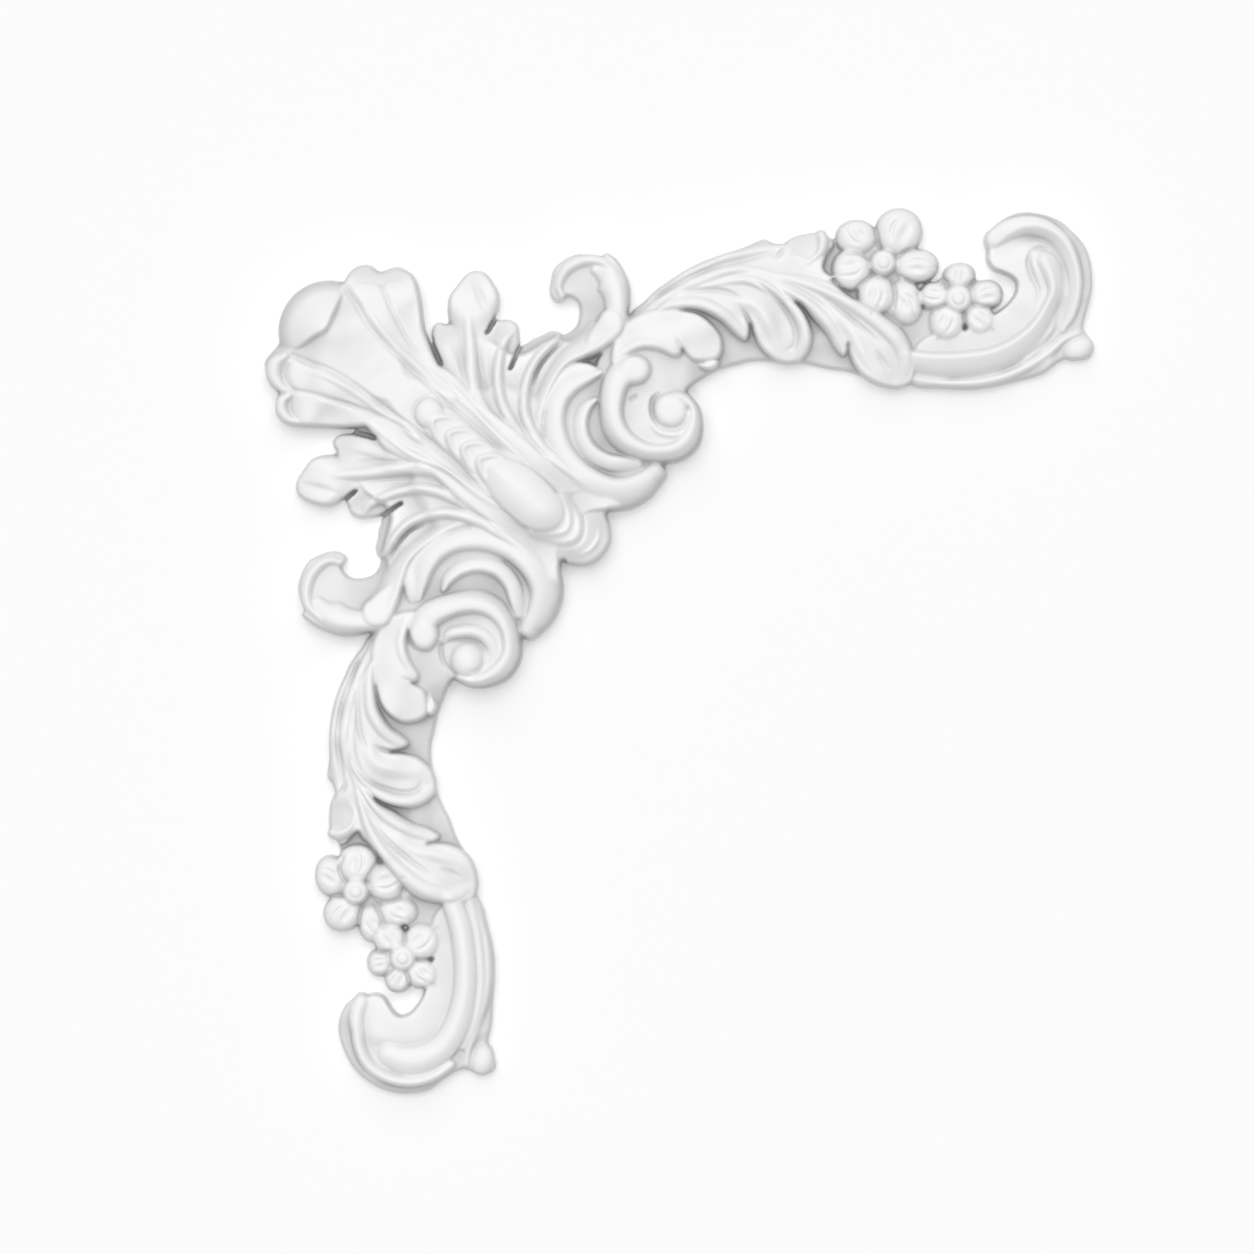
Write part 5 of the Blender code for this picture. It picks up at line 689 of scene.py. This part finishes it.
def end_dish(r):
    """The outer rim and the dish of the C-scroll that ends an arm."""
    r.sheet([(161, 57), (160.7, 54.3), (162.3, 51.2), (165.6, 49.5), (168, 48), (169.3, 46.2), (169, 43.3),
             (167.3, 41), (163, 38), (152, 33), (140, 32), (134, 26), (134, 16.8), (143, 14.9), (152, 13.7),
             (160, 14), (168.4, 15.2), (175.5, 16.7), (180, 19.4), (183, 20.7), (185.4, 20.7), (188.6, 20),
             (191.6, 21), (192.9, 24), (192.3, 26.2), (190.4, 29), (190, 31), (191.8, 36.3), (193.7, 41.6),
             (194.3, 47), (194, 52.3), (192.3, 57.2), (189.3, 61.2), (185.2, 65.3), (180, 67.8),
             (174.7, 68.9), (171, 68.6), (167, 67), (163.2, 64.2), (161.4, 60.6)],
            [(140, 21, 6.4), (156, 20, 6.4), (170, 24, 6.4), (140, 29, 7), (156, 29, 7.4), (168, 34, 8),
             (172, 42, 9), (170, 52, 9.4), (164, 57, 9), (165, 63, 7), (172, 67.6, 5), (184, 65, 5),
             (192, 56, 5), (193.4, 46, 5), (190, 34, 5), (184, 57, 8), (186, 44, 7.4), (184, 34, 6.5),
             (188, 24, 4.5), (150, 15, 4.5), (168, 17, 4.5)], 1.0, -1.6, ROUND, reach=3.4)
    r.crest([(133, 19), (140, 17.2), (148, 16.2), (156, 16), (164, 17.2), (172, 20), (178, 23.2),
             (183, 26.8), (188, 28.6)], (0.9, 1.1, 1.2, 1.2), (1.2, 1.6, 1.8, 1.8, 1.6, 1.4, 1.2),
            (6.8, 7.2, 7.4, 7.4, 7.2, 6.8, 6), ((5.4, 5.4, 5.4), (4, 4, 4)))
    r.cut([(136, 20.2), (143, 18.7), (150, 18), (158, 18.3), (166, 20.5), (173, 23.8), (179, 28.2),
             (184, 33)], (0.7, 0.9, 1, 1, 0.8), (0.2, 0.6, 0.7, 0.6, 0.2))
    r.dome((187.4, 24), (5.2, 3.8), 20, 6.4, 4.4, CUSHION)


def end_scroll(r):
    """The bands of the C-scroll that ends an arm."""
    end_dish(r)
    if r.left_arm:
        r.shifted = False
        r.crest([(134, 27.2), (143, 25), (151, 24.4), (158, 24.6), (165, 25.8), (172, 28.2), (177.6, 31.4),
                 (181.6, 35.4), (183.8, 40.6), (183.9, 46), (181.6, 51.2)],
                (3.4, 3.7, 3.8, 3.8, 4, 4.4, 5, 5, 4), (3.4, 3.6, 3.6, 3.8, 4.2, 4.4, 4.8, 5, 3.6),
                (10, 10.6, 10.8, 10.8, 10.8, 10.8, 10.8, 10.6, 10),
                ((7.6, 7.4, 7.4, 7.6, 8), (7.8, 7.8, 7.8, 7.8, 8)), (TUBE, SOFT))
        r.crest([(133, 21.8), (143, 20.2), (152, 19.7), (160, 20), (168, 21.6), (176, 24.6), (181, 27.6)],
                (1.6, 1.8, 1.8, 1.6), (1.6, 1.8, 1.8, 1.6), (7.6, 8, 8, 7.8, 7), ((6.6,), (5.6,)),
                (FULL, FULL))
        r.crest([(164, 58.4), (168.6, 60.6), (173, 61), (178.5, 60.8), (184, 58.6), (188, 54.4),
                 (190.4, 49), (191, 43.2), (189.6, 37.3), (186.6, 32)],
                (3, 2.2, 1.6, 1.6, 1.6, 1.6, 1.6, 1.4), (2.6, 3, 2.6, 2.4, 2.2, 2, 1.6),
                (9.8, 10.4, 10.6, 10.6, 10.4, 10.2, 9.6, 8.6), ((8, 8, 7.6, 7.4), (6, 6, 6, 6)),
                (TUBE, ROUND))
        r.shifted = True
        return
    r.crest([(133, 26.6), (141, 25), (150, 24.3), (158, 24.6), (165, 26.4), (171.5, 30), (175.6, 33.8),
             (178.6, 38), (181.2, 42.8), (181, 48), (179.6, 52.4)],
            (1.4, 1.5, 1.6, 1.6, 1.6, 1.6, 1.6, 1.8, 2.6, 3.2),
            (6, 6.4, 6.6, 6.4, 6, 5, 3.8, 3.2, 3.4, 3.4),
            (9.4, 9.8, 10.2, 10.4, 10.6, 10.6, 10.6, 10.8, 11, 11),
            ((7.6, 7.8, 7.8, 8, 8, 8.4), (6, 6, 6, 6.8, 8)), (TUBE, SLOPE))
    r.crest([(165, 59.6), (169.6, 62.4), (175, 63.8), (181, 62.4), (186, 57.8), (188.7, 50.4),
             (188.8, 42.6), (186.4, 35), (183, 30.4)], (5, 4.4, 3.4, 2.4, 1.8, 1.6, 1.5, 1.2),
            (3, 3.8, 4.4, 4.6, 4.8, 4.8, 4.4, 3.4, 2), (9.8, 10.6, 11, 11, 10.8, 10.4, 9.8, 8.6, 7),
            ((9.4, 9.4, 8.6, 8, 6.6), (5, 5, 5, 5, 5)), (TUBE, SLOPE))
    r.cut([(175.2, 56), (174, 52.4), (174.8, 48), (176.4, 43), (175, 38)], (0.6, 1.2, 1.4, 1, 0.6),
          (0.6, 1.8, 1.8, 1, 0))
    r.cut([(175.2, 56), (178.6, 56.8), (182.4, 54)], (0.6, 1, 0.8), (0.6, 1.6, 0.8))
    r.cut([(170, 61.4), (175.6, 60.6), (180.8, 57.8), (184, 52.8), (185.6, 47.2), (185.4, 42)],
            (0.4, 1.1, 1.3, 1.1, 0.8, 0.4), (0, 1, 1.4, 1.2, 0.8, 0))


FLOWERS_TOP = (
    ((127.8, 56.4), 3.7, 12.6,
     ((120, 65.5, 6, 5, 9.5), (133.8, 66, 7, 7, 10), (138.5, 54.5, 6.5, 5, 10.4),
      (134, 43.5, 4.7, 6.8, 9.6), (124.8, 46.5, 5.5, 5.6, 10.4), (117.5, 55, 5.5, 6, 11)),
     (((133, 57.8), (135, 59.4), (138, 60.2)), ((132, 52.4), (135.6, 50), (139.4, 48.4)),
      ((124.4, 53), (121, 51), (118, 48.6)), ((130, 50.6), (130.8, 46), (130, 41.6)),
      ((123.6, 57.4), (120.6, 59.8), (116, 60.6)), ((126, 69), (126.8, 64.6), (127.4, 60.4)))),
    ((150.7, 43), 4.0, 11.4,
     ((151.8, 50.5, 4.7, 3.5, 8.4), (160, 43.5, 4.8, 4.3, 9), (143, 44.5, 4, 4.1, 9.6),
      (146.5, 35.8, 5, 5, 9.8), (157, 35.8, 4.4, 4.3, 9.4)),
     (((147.6, 46.6), (147.4, 49), (145.4, 50.2)), ((154.4, 46), (156, 48), (158, 49.4)),
      ((152, 39.2), (152.2, 36), (152, 32.6)), ((155.4, 40.6), (159.4, 39.6), (163.4, 39)),
      ((147.4, 41.4), (144, 40.6), (140.6, 40.4)))),
)
FLOWERS_LEFT = (
    ((128.8, 57.3), 3.7, 12.6,
     ((123.3, 65, 6, 4.5, 9.5), (135.5, 62.3, 5.3, 5.6, 10), (139.5, 53.5, 5.5, 3.7, 9.6),
      (136.7, 45, 4.2, 6, 9.6), (127, 47.7, 6, 5, 10.4), (120, 56, 5.5, 6, 11)),
     (((126.4, 54.4), (123, 52), (119.6, 49.4)), ((131, 52.6), (132.8, 48), (132.4, 43)),
      ((125.4, 60.6), (121.6, 62), (117.4, 60.4)), ((129.6, 66.4), (129.6, 63.6), (130.2, 61.4)),
      ((133.4, 55.4), (136.4, 56.8), (140, 57.4)), ((133.6, 52), (137, 50), (140.4, 49.4)))),
    ((151.3, 44.3), 3.7, 11.4,
     ((152.3, 52, 3.9, 3.4, 8.4), (158, 46.5, 4, 3.8, 9), (157, 38.8, 4.3, 4.8, 9.4),
      (146.8, 38, 5.3, 5.2, 9.8), (144.7, 48, 4.2, 4.9, 9.6)),
     (((152, 41), (152.4, 38), (152.4, 34.6)), ((155, 44.2), (158, 43), (161.4, 42.6)),
      ((148.6, 47.6), (148.8, 50), (148.6, 52.4)), ((154.2, 47.4), (155.6, 49), (156.6, 51)),
      ((147.8, 43.4), (144.4, 43), (141, 43)))),
)


FLOWER_PAD = 8.8
PETAL_FLANK = (3.6, 0.8)
PETAL_RIM = 0.7
PETAL_DEPTH = 3.6
PETAL_FULLNESS = 2.1
BUTTON_RIM = 0.5
BUTTON_DEPTH = 2.4
RING = 0.6


def petal_creases(r, centre, petal, reach):
    """A petal's shallow dish, the bent crease beside it and the notch at its tip."""
    middle = np.array(petal)
    out = (middle - centre) / np.linalg.norm(middle - centre)
    side = np.array([-out[1], out[0]]) * reach
    out = out * reach
    r.cut([middle - 0.5 * out - 0.26 * side, middle + 0.55 * out - 0.26 * side], (0.34 * reach,),
          (0.3, 0.8, 0.3))
    r.cut([middle - 0.6 * out + 0.1 * side, middle + 0.36 * side, middle + 0.85 * out + 0.16 * side],
          (0.4, 0.7, 0.5), (0.3, 1, 0.4))
    r.cut([middle + 0.7 * out, middle + 1.25 * out], (0.5, 0.9), (0, 0.9))


def flowers(r, blooms):
    """Flowers at the end of an arm. Each has its centre, its button's radius and height, its petals with the
    place, radii and height of each, and the folds between the petals. They stand at their own places."""
    r.shifted = False
    for (x, z), radius, top, petals, folds in blooms:
        r.dome((x, z), (FLOWER_PAD, FLOWER_PAD), 0, 6.2, 4.6, FULL)
        for px, pz, rx, rz, height in petals:
            r.dome((px, pz), (rx + PETAL_RIM, rz + PETAL_RIM), 0, height, height - PETAL_DEPTH, PETAL_FLANK,
                   square=PETAL_FULLNESS, blend=0.1)
        for px, pz, rx, rz, _ in petals:
            petal_creases(r, (x, z), (px, pz), min(rx, rz))
        for fold in folds:
            r.cut(fold, (0.5, 0.6, 0.6), (1, 3, 2))
        button = radius + BUTTON_RIM
        r.dome((x, z), (button, button), 0, top, top - BUTTON_DEPTH, CUSHION, blend=0.1)
        turns = np.linspace(0, 2 * math.pi, 9)
        r.cut([(x + RING * radius * math.cos(turn), z + RING * radius * math.sin(turn)) for turn in turns],
              (0.5,), (0.6,))
    r.shifted = True


# How far the left arm's hand-cut forms stand from the top arm's: pairs of the same place on both arms.
WARP = (
    ((-11.8, 53.9), (-10, 56)), ((-2.5, 65.2), (-1.3, 64.6)), ((4.5, 57), (4.5, 57.6)),
    ((0, 45.2), (3, 47.8)), ((-16.7, 49), (-16.5, 51.5)), ((7.5, 48.7), (8.5, 49)), ((10, 39), (9.5, 38)),
    ((14.5, 42.2), (13.9, 39.3)), ((20, 44.1), (19.7, 41)), ((23.2, 42.4), (24.5, 37.8)),
    ((29.2, 47.8), (28.3, 47.3)), ((28.5, 53.2), (26, 50.2)), ((21.1, 56.7), (19.9, 57)),
    ((31, 67.6), (32.3, 67.5)), ((40, 67.3), (38, 67)), ((46.5, 56.2), (46.9, 55)), ((20, 29.4), (22, 28)),
    ((30.4, 36), (31, 35.5)), ((39, 40), (40, 39)), ((34.5, 30), (38.5, 30)), ((32.8, 21.7), (34.4, 22.5)),
    ((23, 10), (23.5, 11)), ((29, 0), (26.7, 0)), ((38, -4), (38, -7.2)), ((31.5, 20), (34.5, 20.5)),
    ((26, 12.5), (27.5, 12)), ((31, 2.5), (31.5, 0.5)), ((36, 0), (37, -3.5)), ((44, -1.5), (46, -2)),
    ((32.7, -15.8), (30, -17.5)), ((41, -15), (41.6, -16.7)), ((52, -8), (50.2, -10.3)),
    ((53.5, -4), (52, -4.5)), ((46, 33.8), (50, 32.7)), ((50.8, 29), (55.5, 27.6)),
    ((42, 20.7), (48, 22.3)), ((40.8, 16), (44, 16)), ((46, 6.8), (48, 6)), ((51, 4.8), (52.3, 3.6)),
    ((59.7, 8.4), (61.3, 6.3)), ((33.3, 17), (36.3, 17)), ((36.8, 6.3), (38.5, 6)),
    ((45.3, -0.4), (46.4, -1.2)), ((54.4, -1.7), (56.5, -3)), ((63.7, 2.5), (64.5, 3)),
    ((66, 12), (66.8, 13)), ((56, 15.3), (58.5, 15.5)), ((44, 45), (48, 42)), ((57, 47.8), (58, 45.3)),
    ((71, 42), (75, 40.4)), ((74, 33.5), (76.8, 33.5)), ((67, 28.7), (70.4, 28.8)),
    ((62.4, 34), (64.5, 32.9)), ((50, 35.3), (51.2, 34.5)), ((42, 32.5), (44, 31.5)),
    ((46.6, 48.3), (47, 47.2)), ((59, 56.5), (60, 55.2)), ((77, 63.5), (79, 61)),
    ((91, 67.2), (91.4, 62.7)), ((99.4, 66.9), (100, 63.4)), ((108, 67.7), (109, 63.2)),
    ((113, 64.5), (113.8, 61)), ((62, 20.2), (64.5, 19)), ((72.7, 26.9), (74, 25)),
    ((83, 28.8), (83.5, 27)), ((100.5, 26.4), (101, 26.4)), ((113.8, 22.7), (114, 22.9)),
    ((119, 20.5), (120, 21.3)), ((89.8, 29.6), (92, 32.3)), ((96.7, 27.2), (97.5, 30.9)),
    ((103, 34.7), (103.4, 36.5)), ((99.7, 45.3), (100.5, 47.3)), ((82, 36.3), (82.9, 39.7)),
    ((76.5, 52.8), (78, 53.1)), ((87, 45.5), (88.7, 48)), ((131.5, 16.7), (130, 20.3)),
    ((135, 23.5), (136.9, 24.5)), ((122, 43), (125, 44.3)), ((117.5, 45.3), (119.5, 48.5)),
    ((103, 40), (103, 43.7)), ((113.5, 28.5), (115.4, 30.7)), ((161.3, 57), (162.5, 57.6)),
    ((165.7, 49.9), (166.7, 49.6)), ((169.7, 46.4), (169.1, 45.4)), ((165, 39.5), (164, 40.5)),
    ((163.5, 64), (165.1, 63)), ((174.7, 68.6), (174.2, 66.4)), ((185, 65), (186, 62.4)),
    ((194, 47), (194.7, 42.7)), ((189.7, 31), (189, 30)), ((192.6, 24), (190, 20.8)),
    ((188.6, 20.3), (187, 17.4)), ((175.3, 17), (174.7, 18.7)), ((160, 14.3), (161, 16)),
    ((143, 15.2), (145, 15.8)), ((145, 26.4), (143.3, 28.8)), ((162, 27.5), (164.6, 29.6)),
    ((173, 32.5), (175.8, 35.7)), ((178.2, 42.7), (178.7, 46)),
)


def arm(r):
    """Everything on one arm but its flowers, from the lowest form to the highest."""
    ground(r)
    body(r)
    hook(r)
    upper_leaf(r)
    side_leaf(r)
    rib_fan(r)
    fan_lobe(r)
    stem(r)
    lobe_four(r)
    outer_scroll(r)
    stem_gap(r)
    inner_scroll(r)
    end_scroll(r)
    lobe_a(r)
    lobe_b(r)
    helmet(r)
    main_volute(r)


def carve(cell):
    """The whole face, on a grid with this spacing."""
    r = Relief((-76, -199), (199, 77), cell)
    pairs = np.array(WARP, float)
    r.shifts = (pairs[:, 0], pairs[:, 1] - pairs[:, 0])
    palmette(r)
    collars(r)
    for left in (False, True):
        r.left_arm = left
        arm(r)
        flowers(r, FLOWERS_LEFT if left else FLOWERS_TOP)
    r.left_arm = False
    bead_and_husks(r)
    r.soften(max(PAINT_ROUNDING, GRID_ROUNDING * cell))
    return r


class Shade:
    """A shader socket that takes part in plain arithmetic."""

    def __init__(self, material, socket):
        self.material = material
        self.socket = socket

    def maths(self, operation, first, second):
        return self.material.node("ShaderNodeMath", {"operation": operation}, {0: first, 1: second})

    def __add__(self, other):
        return self.maths("ADD", self, other)

    def __radd__(self, other):
        return self.maths("ADD", other, self)

    def __sub__(self, other):
        return self.maths("SUBTRACT", self, other)

    def __rsub__(self, other):
        return self.maths("SUBTRACT", other, self)

    def __mul__(self, other):
        return self.maths("MULTIPLY", self, other)

    def __rmul__(self, other):
        return self.maths("MULTIPLY", other, self)


class Finish:
    """A material and the nodes that make it."""

    def __init__(self, name):
        self.material = bpy.data.materials.new(name)
        self.material.use_nodes = True
        self.tree = self.material.node_tree
        self.shader = next(node for node in self.tree.nodes if node.type == "BSDF_PRINCIPLED")

    def put(self, socket, value):
        """Links a shader socket, or sets a plain value."""
        if isinstance(value, Shade):
            self.tree.links.new(value.socket, socket)
        else:
            socket.default_value = value

    def node(self, kind, settings=None, values=None, output=0):
        """One node, with its settings made first and then its sockets filled or linked."""
        node = self.tree.nodes.new(kind)
        for name, setting in (settings or {}).items():
            setattr(node, name, setting)
        for name, value in (values or {}).items():
            self.put(node.inputs[name], value)
        return Shade(self, node.outputs[output])

    def surface(self, **values):
        """Fills the surface shader's sockets, with _ for each space in a name."""
        for name, value in values.items():
            self.put(self.shader.inputs[name.replace("_", " ")], value)


def satin_paint():
    """Satin white paint: faint mottle, soft brush texture, painted shade and a duller sheen in the hollows.
    """
    paint = Finish("satin_white_paint")
    place = paint.node("ShaderNodeTexCoord", output="Object")
    hollow = paint.node("ShaderNodeAttribute", {"attribute_name": PAINTED_SHADE_ATTRIBUTE}, output="Fac")
    cloud = paint.node("ShaderNodeTexNoise",
                       values={"Vector": place, "Scale": CLOUDS_PER_METRE, "Detail": CLOUD_DETAIL})
    grain = paint.node("ShaderNodeTexNoise",
                       values={"Vector": place, "Scale": GRAIN_PER_METRE, "Detail": GRAIN_DETAIL})
    # Painted shade: the paint turns from white to grey as the hollow attribute rises, for the shade in the
    # recesses.
    paint_with_painted_shade = paint.node("ShaderNodeMix", {"data_type": "RGBA"},
                      {0: hollow + (cloud - 0.5) * MOTTLE, 6: PAINT_WHITE, 7: PAINTED_SHADE_GREY}, output=2)
    skin = paint.node("ShaderNodeBump", values={"Strength": BRUSH_STRENGTH, "Distance": BRUSH_DEPTH,
                                                "Height": cloud * CLOUD_SHARE + grain * GRAIN_SHARE})
    dull = SATIN + (grain - 0.5) * GRAIN_IN_SATIN + hollow * DULLER_IN_HOLLOWS
    paint.surface(Base_Color=paint_with_painted_shade, Roughness=dull, Normal=skin)
    paint.shader.inputs["Specular IOR Level"].default_value = PAINT_SHINE
    return paint.material


def wall_paint():
    """Pale matt paint on the room's side. The wall is clear from its other side, which shows the back."""
    wall = Finish("pale_wall")
    wall.surface(Base_Color=WALL_WHITE, Roughness=WALL_ROUGHNESS)
    behind = wall.node("ShaderNodeNewGeometry", output="Backfacing")
    paint = Shade(wall, wall.shader.outputs[0])
    clear = wall.node("ShaderNodeBsdfTransparent")
    seen = wall.node("ShaderNodeMixShader", values={0: behind, 1: paint, 2: clear})
    end = next(node for node in wall.tree.nodes if node.type == "OUTPUT_MATERIAL")
    wall.put(end.inputs["Surface"], seen)
    return wall.material


def front_face(relief):
    """The carved face as an open mesh in metres, trimmed where it meets the wall."""
    columns, rows = len(relief.x), len(relief.z)
    bm = bmesh.new()
    bmesh.ops.create_grid(bm, x_segments=columns - 1, y_segments=rows - 1, size=0.5)
    for vert in bm.verts:
        column = round((vert.co.x + 0.5) * (columns - 1))
        row = round((vert.co.y + 0.5) * (rows - 1))
        vert.co = (relief.x[column] * MM, -relief.height[row, column] * MM, relief.z[row] * MM)
    everything = bm.verts[:] + bm.edges[:] + bm.faces[:]
    bmesh.ops.bisect_plane(bm, geom=everything, plane_co=(0, 0, 0), plane_no=(0, 1, 0), clear_outer=True,
                           dist=TRIM_GAP)
    drop_islands(bm)
    return bm


def drop_islands(bm):
    """Keeps the largest connected face set, so that no crumb of the grid is left beside it."""
    seen = set()
    largest = []
    for start in bm.faces:
        if start in seen:
            continue
        found, front = [start], [start]
        seen.add(start)
        while front:
            face = front.pop()
            for edge in face.edges:
                for other in edge.link_faces:
                    if other not in seen:
                        seen.add(other)
                        found.append(other)
                        front.append(other)
        if len(found) > len(largest):
            largest = found
    kept = set(largest)
    bmesh.ops.delete(bm, geom=[face for face in bm.faces if face not in kept], context="FACES")


def thinned(bm, triangles):
    """The same face with about this many triangles, fewest where it is plain."""
    bmesh.ops.triangulate(bm, faces=bm.faces)
    ratio = triangles / len(bm.faces)
    mesh = bpy.data.meshes.new("front")
    bm.to_mesh(mesh)
    obj = bpy.data.objects.new("front", mesh)
    bpy.context.collection.objects.link(obj)
    modifier = obj.modifiers.new("thin", "DECIMATE")
    modifier.ratio = ratio
    evaluated = obj.evaluated_get(bpy.context.evaluated_depsgraph_get())
    bm.clear()
    bm.from_mesh(evaluated.data)
    bpy.data.objects.remove(obj)


def mark_painted_shade(bm, relief):
    """Notes at each point of the mesh how deep it lies in the carving, which sets its painted shade."""
    hollow = bm.verts.layers.float.new(PAINTED_SHADE_ATTRIBUTE)
    depth = relief.hollows()
    for vert in bm.verts:
        column = round((vert.co.x / MM - relief.x[0]) / relief.cell)
        row = round((vert.co.z / MM - relief.z[0]) / relief.cell)
        vert[hollow] = depth[row, column]


def close_back(bm):
    """Sets the rim flat on the wall and fills the back, which has one even tone."""
    hollow = bm.verts.layers.float[PAINTED_SHADE_ATTRIBUTE]
    rim = [edge for edge in bm.edges if edge.is_boundary]
    for edge in rim:
        edge.smooth = False
        for vert in edge.verts:
            vert.co.y = 0
            # No painted shade on the rim, so the filled back is plain white.
            vert[hollow] = 0
    for face in bm.faces:
        face.smooth = True
    filled = bmesh.ops.triangle_fill(bm, edges=rim, use_beauty=False, normal=(0, 1, 0))
    for face in filled["geom"]:
        if isinstance(face, bmesh.types.BMFace):
            face.smooth = False
    bmesh.ops.recalc_face_normals(bm, faces=bm.faces)


def casting():
    """The whole casting, which stands for the CAD solid."""
    relief = carve(CELL)
    bm = front_face(relief)
    thinned(bm, FRONT_TRIANGLES)
    mark_painted_shade(bm, relief)
    close_back(bm)
    mesh = bpy.data.meshes.new("casting")
    bm.to_mesh(mesh)
    bm.free()
    mesh.materials.append(satin_paint())
    piece = bpy.data.objects.new("casting", mesh)
    bpy.context.collection.objects.link(piece)
    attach(piece, "root")
    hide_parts(NODE)
    return piece


def wall():
    """The pale wall that the casting hangs on."""
    bm = bmesh.new()
    bmesh.ops.create_grid(bm, x_segments=1, y_segments=1, size=WALL_SIDE / 2)
    mesh = bpy.data.meshes.new("wall")
    bm.to_mesh(mesh)
    bm.free()
    mesh.materials.append(wall_paint())
    board = bpy.data.objects.new("wall", mesh)
    board.rotation_euler = (math.pi / 2, 0, 0)
    board.location = (0, WALL_GAP, 0)
    board.visible_shadow = False
    bpy.context.collection.objects.link(board)


def camera():
    """A long lens straight in front of the wall, rolled as in the picture."""
    data = bpy.data.cameras.new("camera")
    data.sensor_width = SENSOR_MM
    data.lens = SENSOR_MM * CAMERA_AWAY / (PICTURE_PIXELS * PIXEL)
    data.clip_end = CAMERA_SEES
    middle = PICTURE_PIXELS / 2
    right = (middle - ORIGIN_IN_PICTURE[0]) * PIXEL
    down = (middle - ORIGIN_IN_PICTURE[1]) * PIXEL
    x = right * math.cos(TURN) - down * math.sin(TURN)
    z = -(right * math.sin(TURN) + down * math.cos(TURN))
    taker = bpy.data.objects.new("camera", data)
    taker.location = (x, -CAMERA_AWAY, z)
    level = Euler((math.pi / 2, 0, 0)).to_matrix()
    taker.rotation_euler = (level @ Euler((0, 0, -TURN)).to_matrix()).to_euler()
    bpy.context.collection.objects.link(taker)
    bpy.context.scene.camera = taker


def sun(name, towards, strength, softness):
    """An even light that comes along a direction."""
    data = bpy.data.lights.new(name, "SUN")
    data.energy = strength
    data.angle = math.radians(softness)
    lamp = bpy.data.objects.new(name, data)
    lamp.rotation_euler = Vector(towards).to_track_quat("-Z", "Y").to_euler()
    bpy.context.collection.objects.link(lamp)


def lights():
    """Two broad lights from the room, a weak one behind the clear side of the wall, and a pale room."""
    sun("front", FRONT_TOWARDS, FRONT_STRENGTH, FRONT_SOFTNESS)
    sun("top", TOP_TOWARDS, TOP_STRENGTH, TOP_SOFTNESS)
    sun("back", BACK_TOWARDS, BACK_STRENGTH, BACK_SOFTNESS)
    world = bpy.data.worlds.new("room")
    world.use_nodes = True
    sky = next(node for node in world.node_tree.nodes if node.type == "BACKGROUND")
    sky.inputs["Color"].default_value = (1, 1, 1, 1)
    sky.inputs["Strength"].default_value = ROOM_STRENGTH
    bpy.context.scene.world = world
    bpy.context.scene.view_settings.view_transform = "Standard"


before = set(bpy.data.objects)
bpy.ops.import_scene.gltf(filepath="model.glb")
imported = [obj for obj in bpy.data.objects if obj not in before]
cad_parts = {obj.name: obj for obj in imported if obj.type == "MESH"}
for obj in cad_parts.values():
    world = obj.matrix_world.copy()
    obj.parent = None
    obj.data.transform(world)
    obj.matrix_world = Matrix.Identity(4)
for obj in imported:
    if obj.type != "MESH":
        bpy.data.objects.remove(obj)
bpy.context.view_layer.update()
casting()
wall()
camera()
lights()
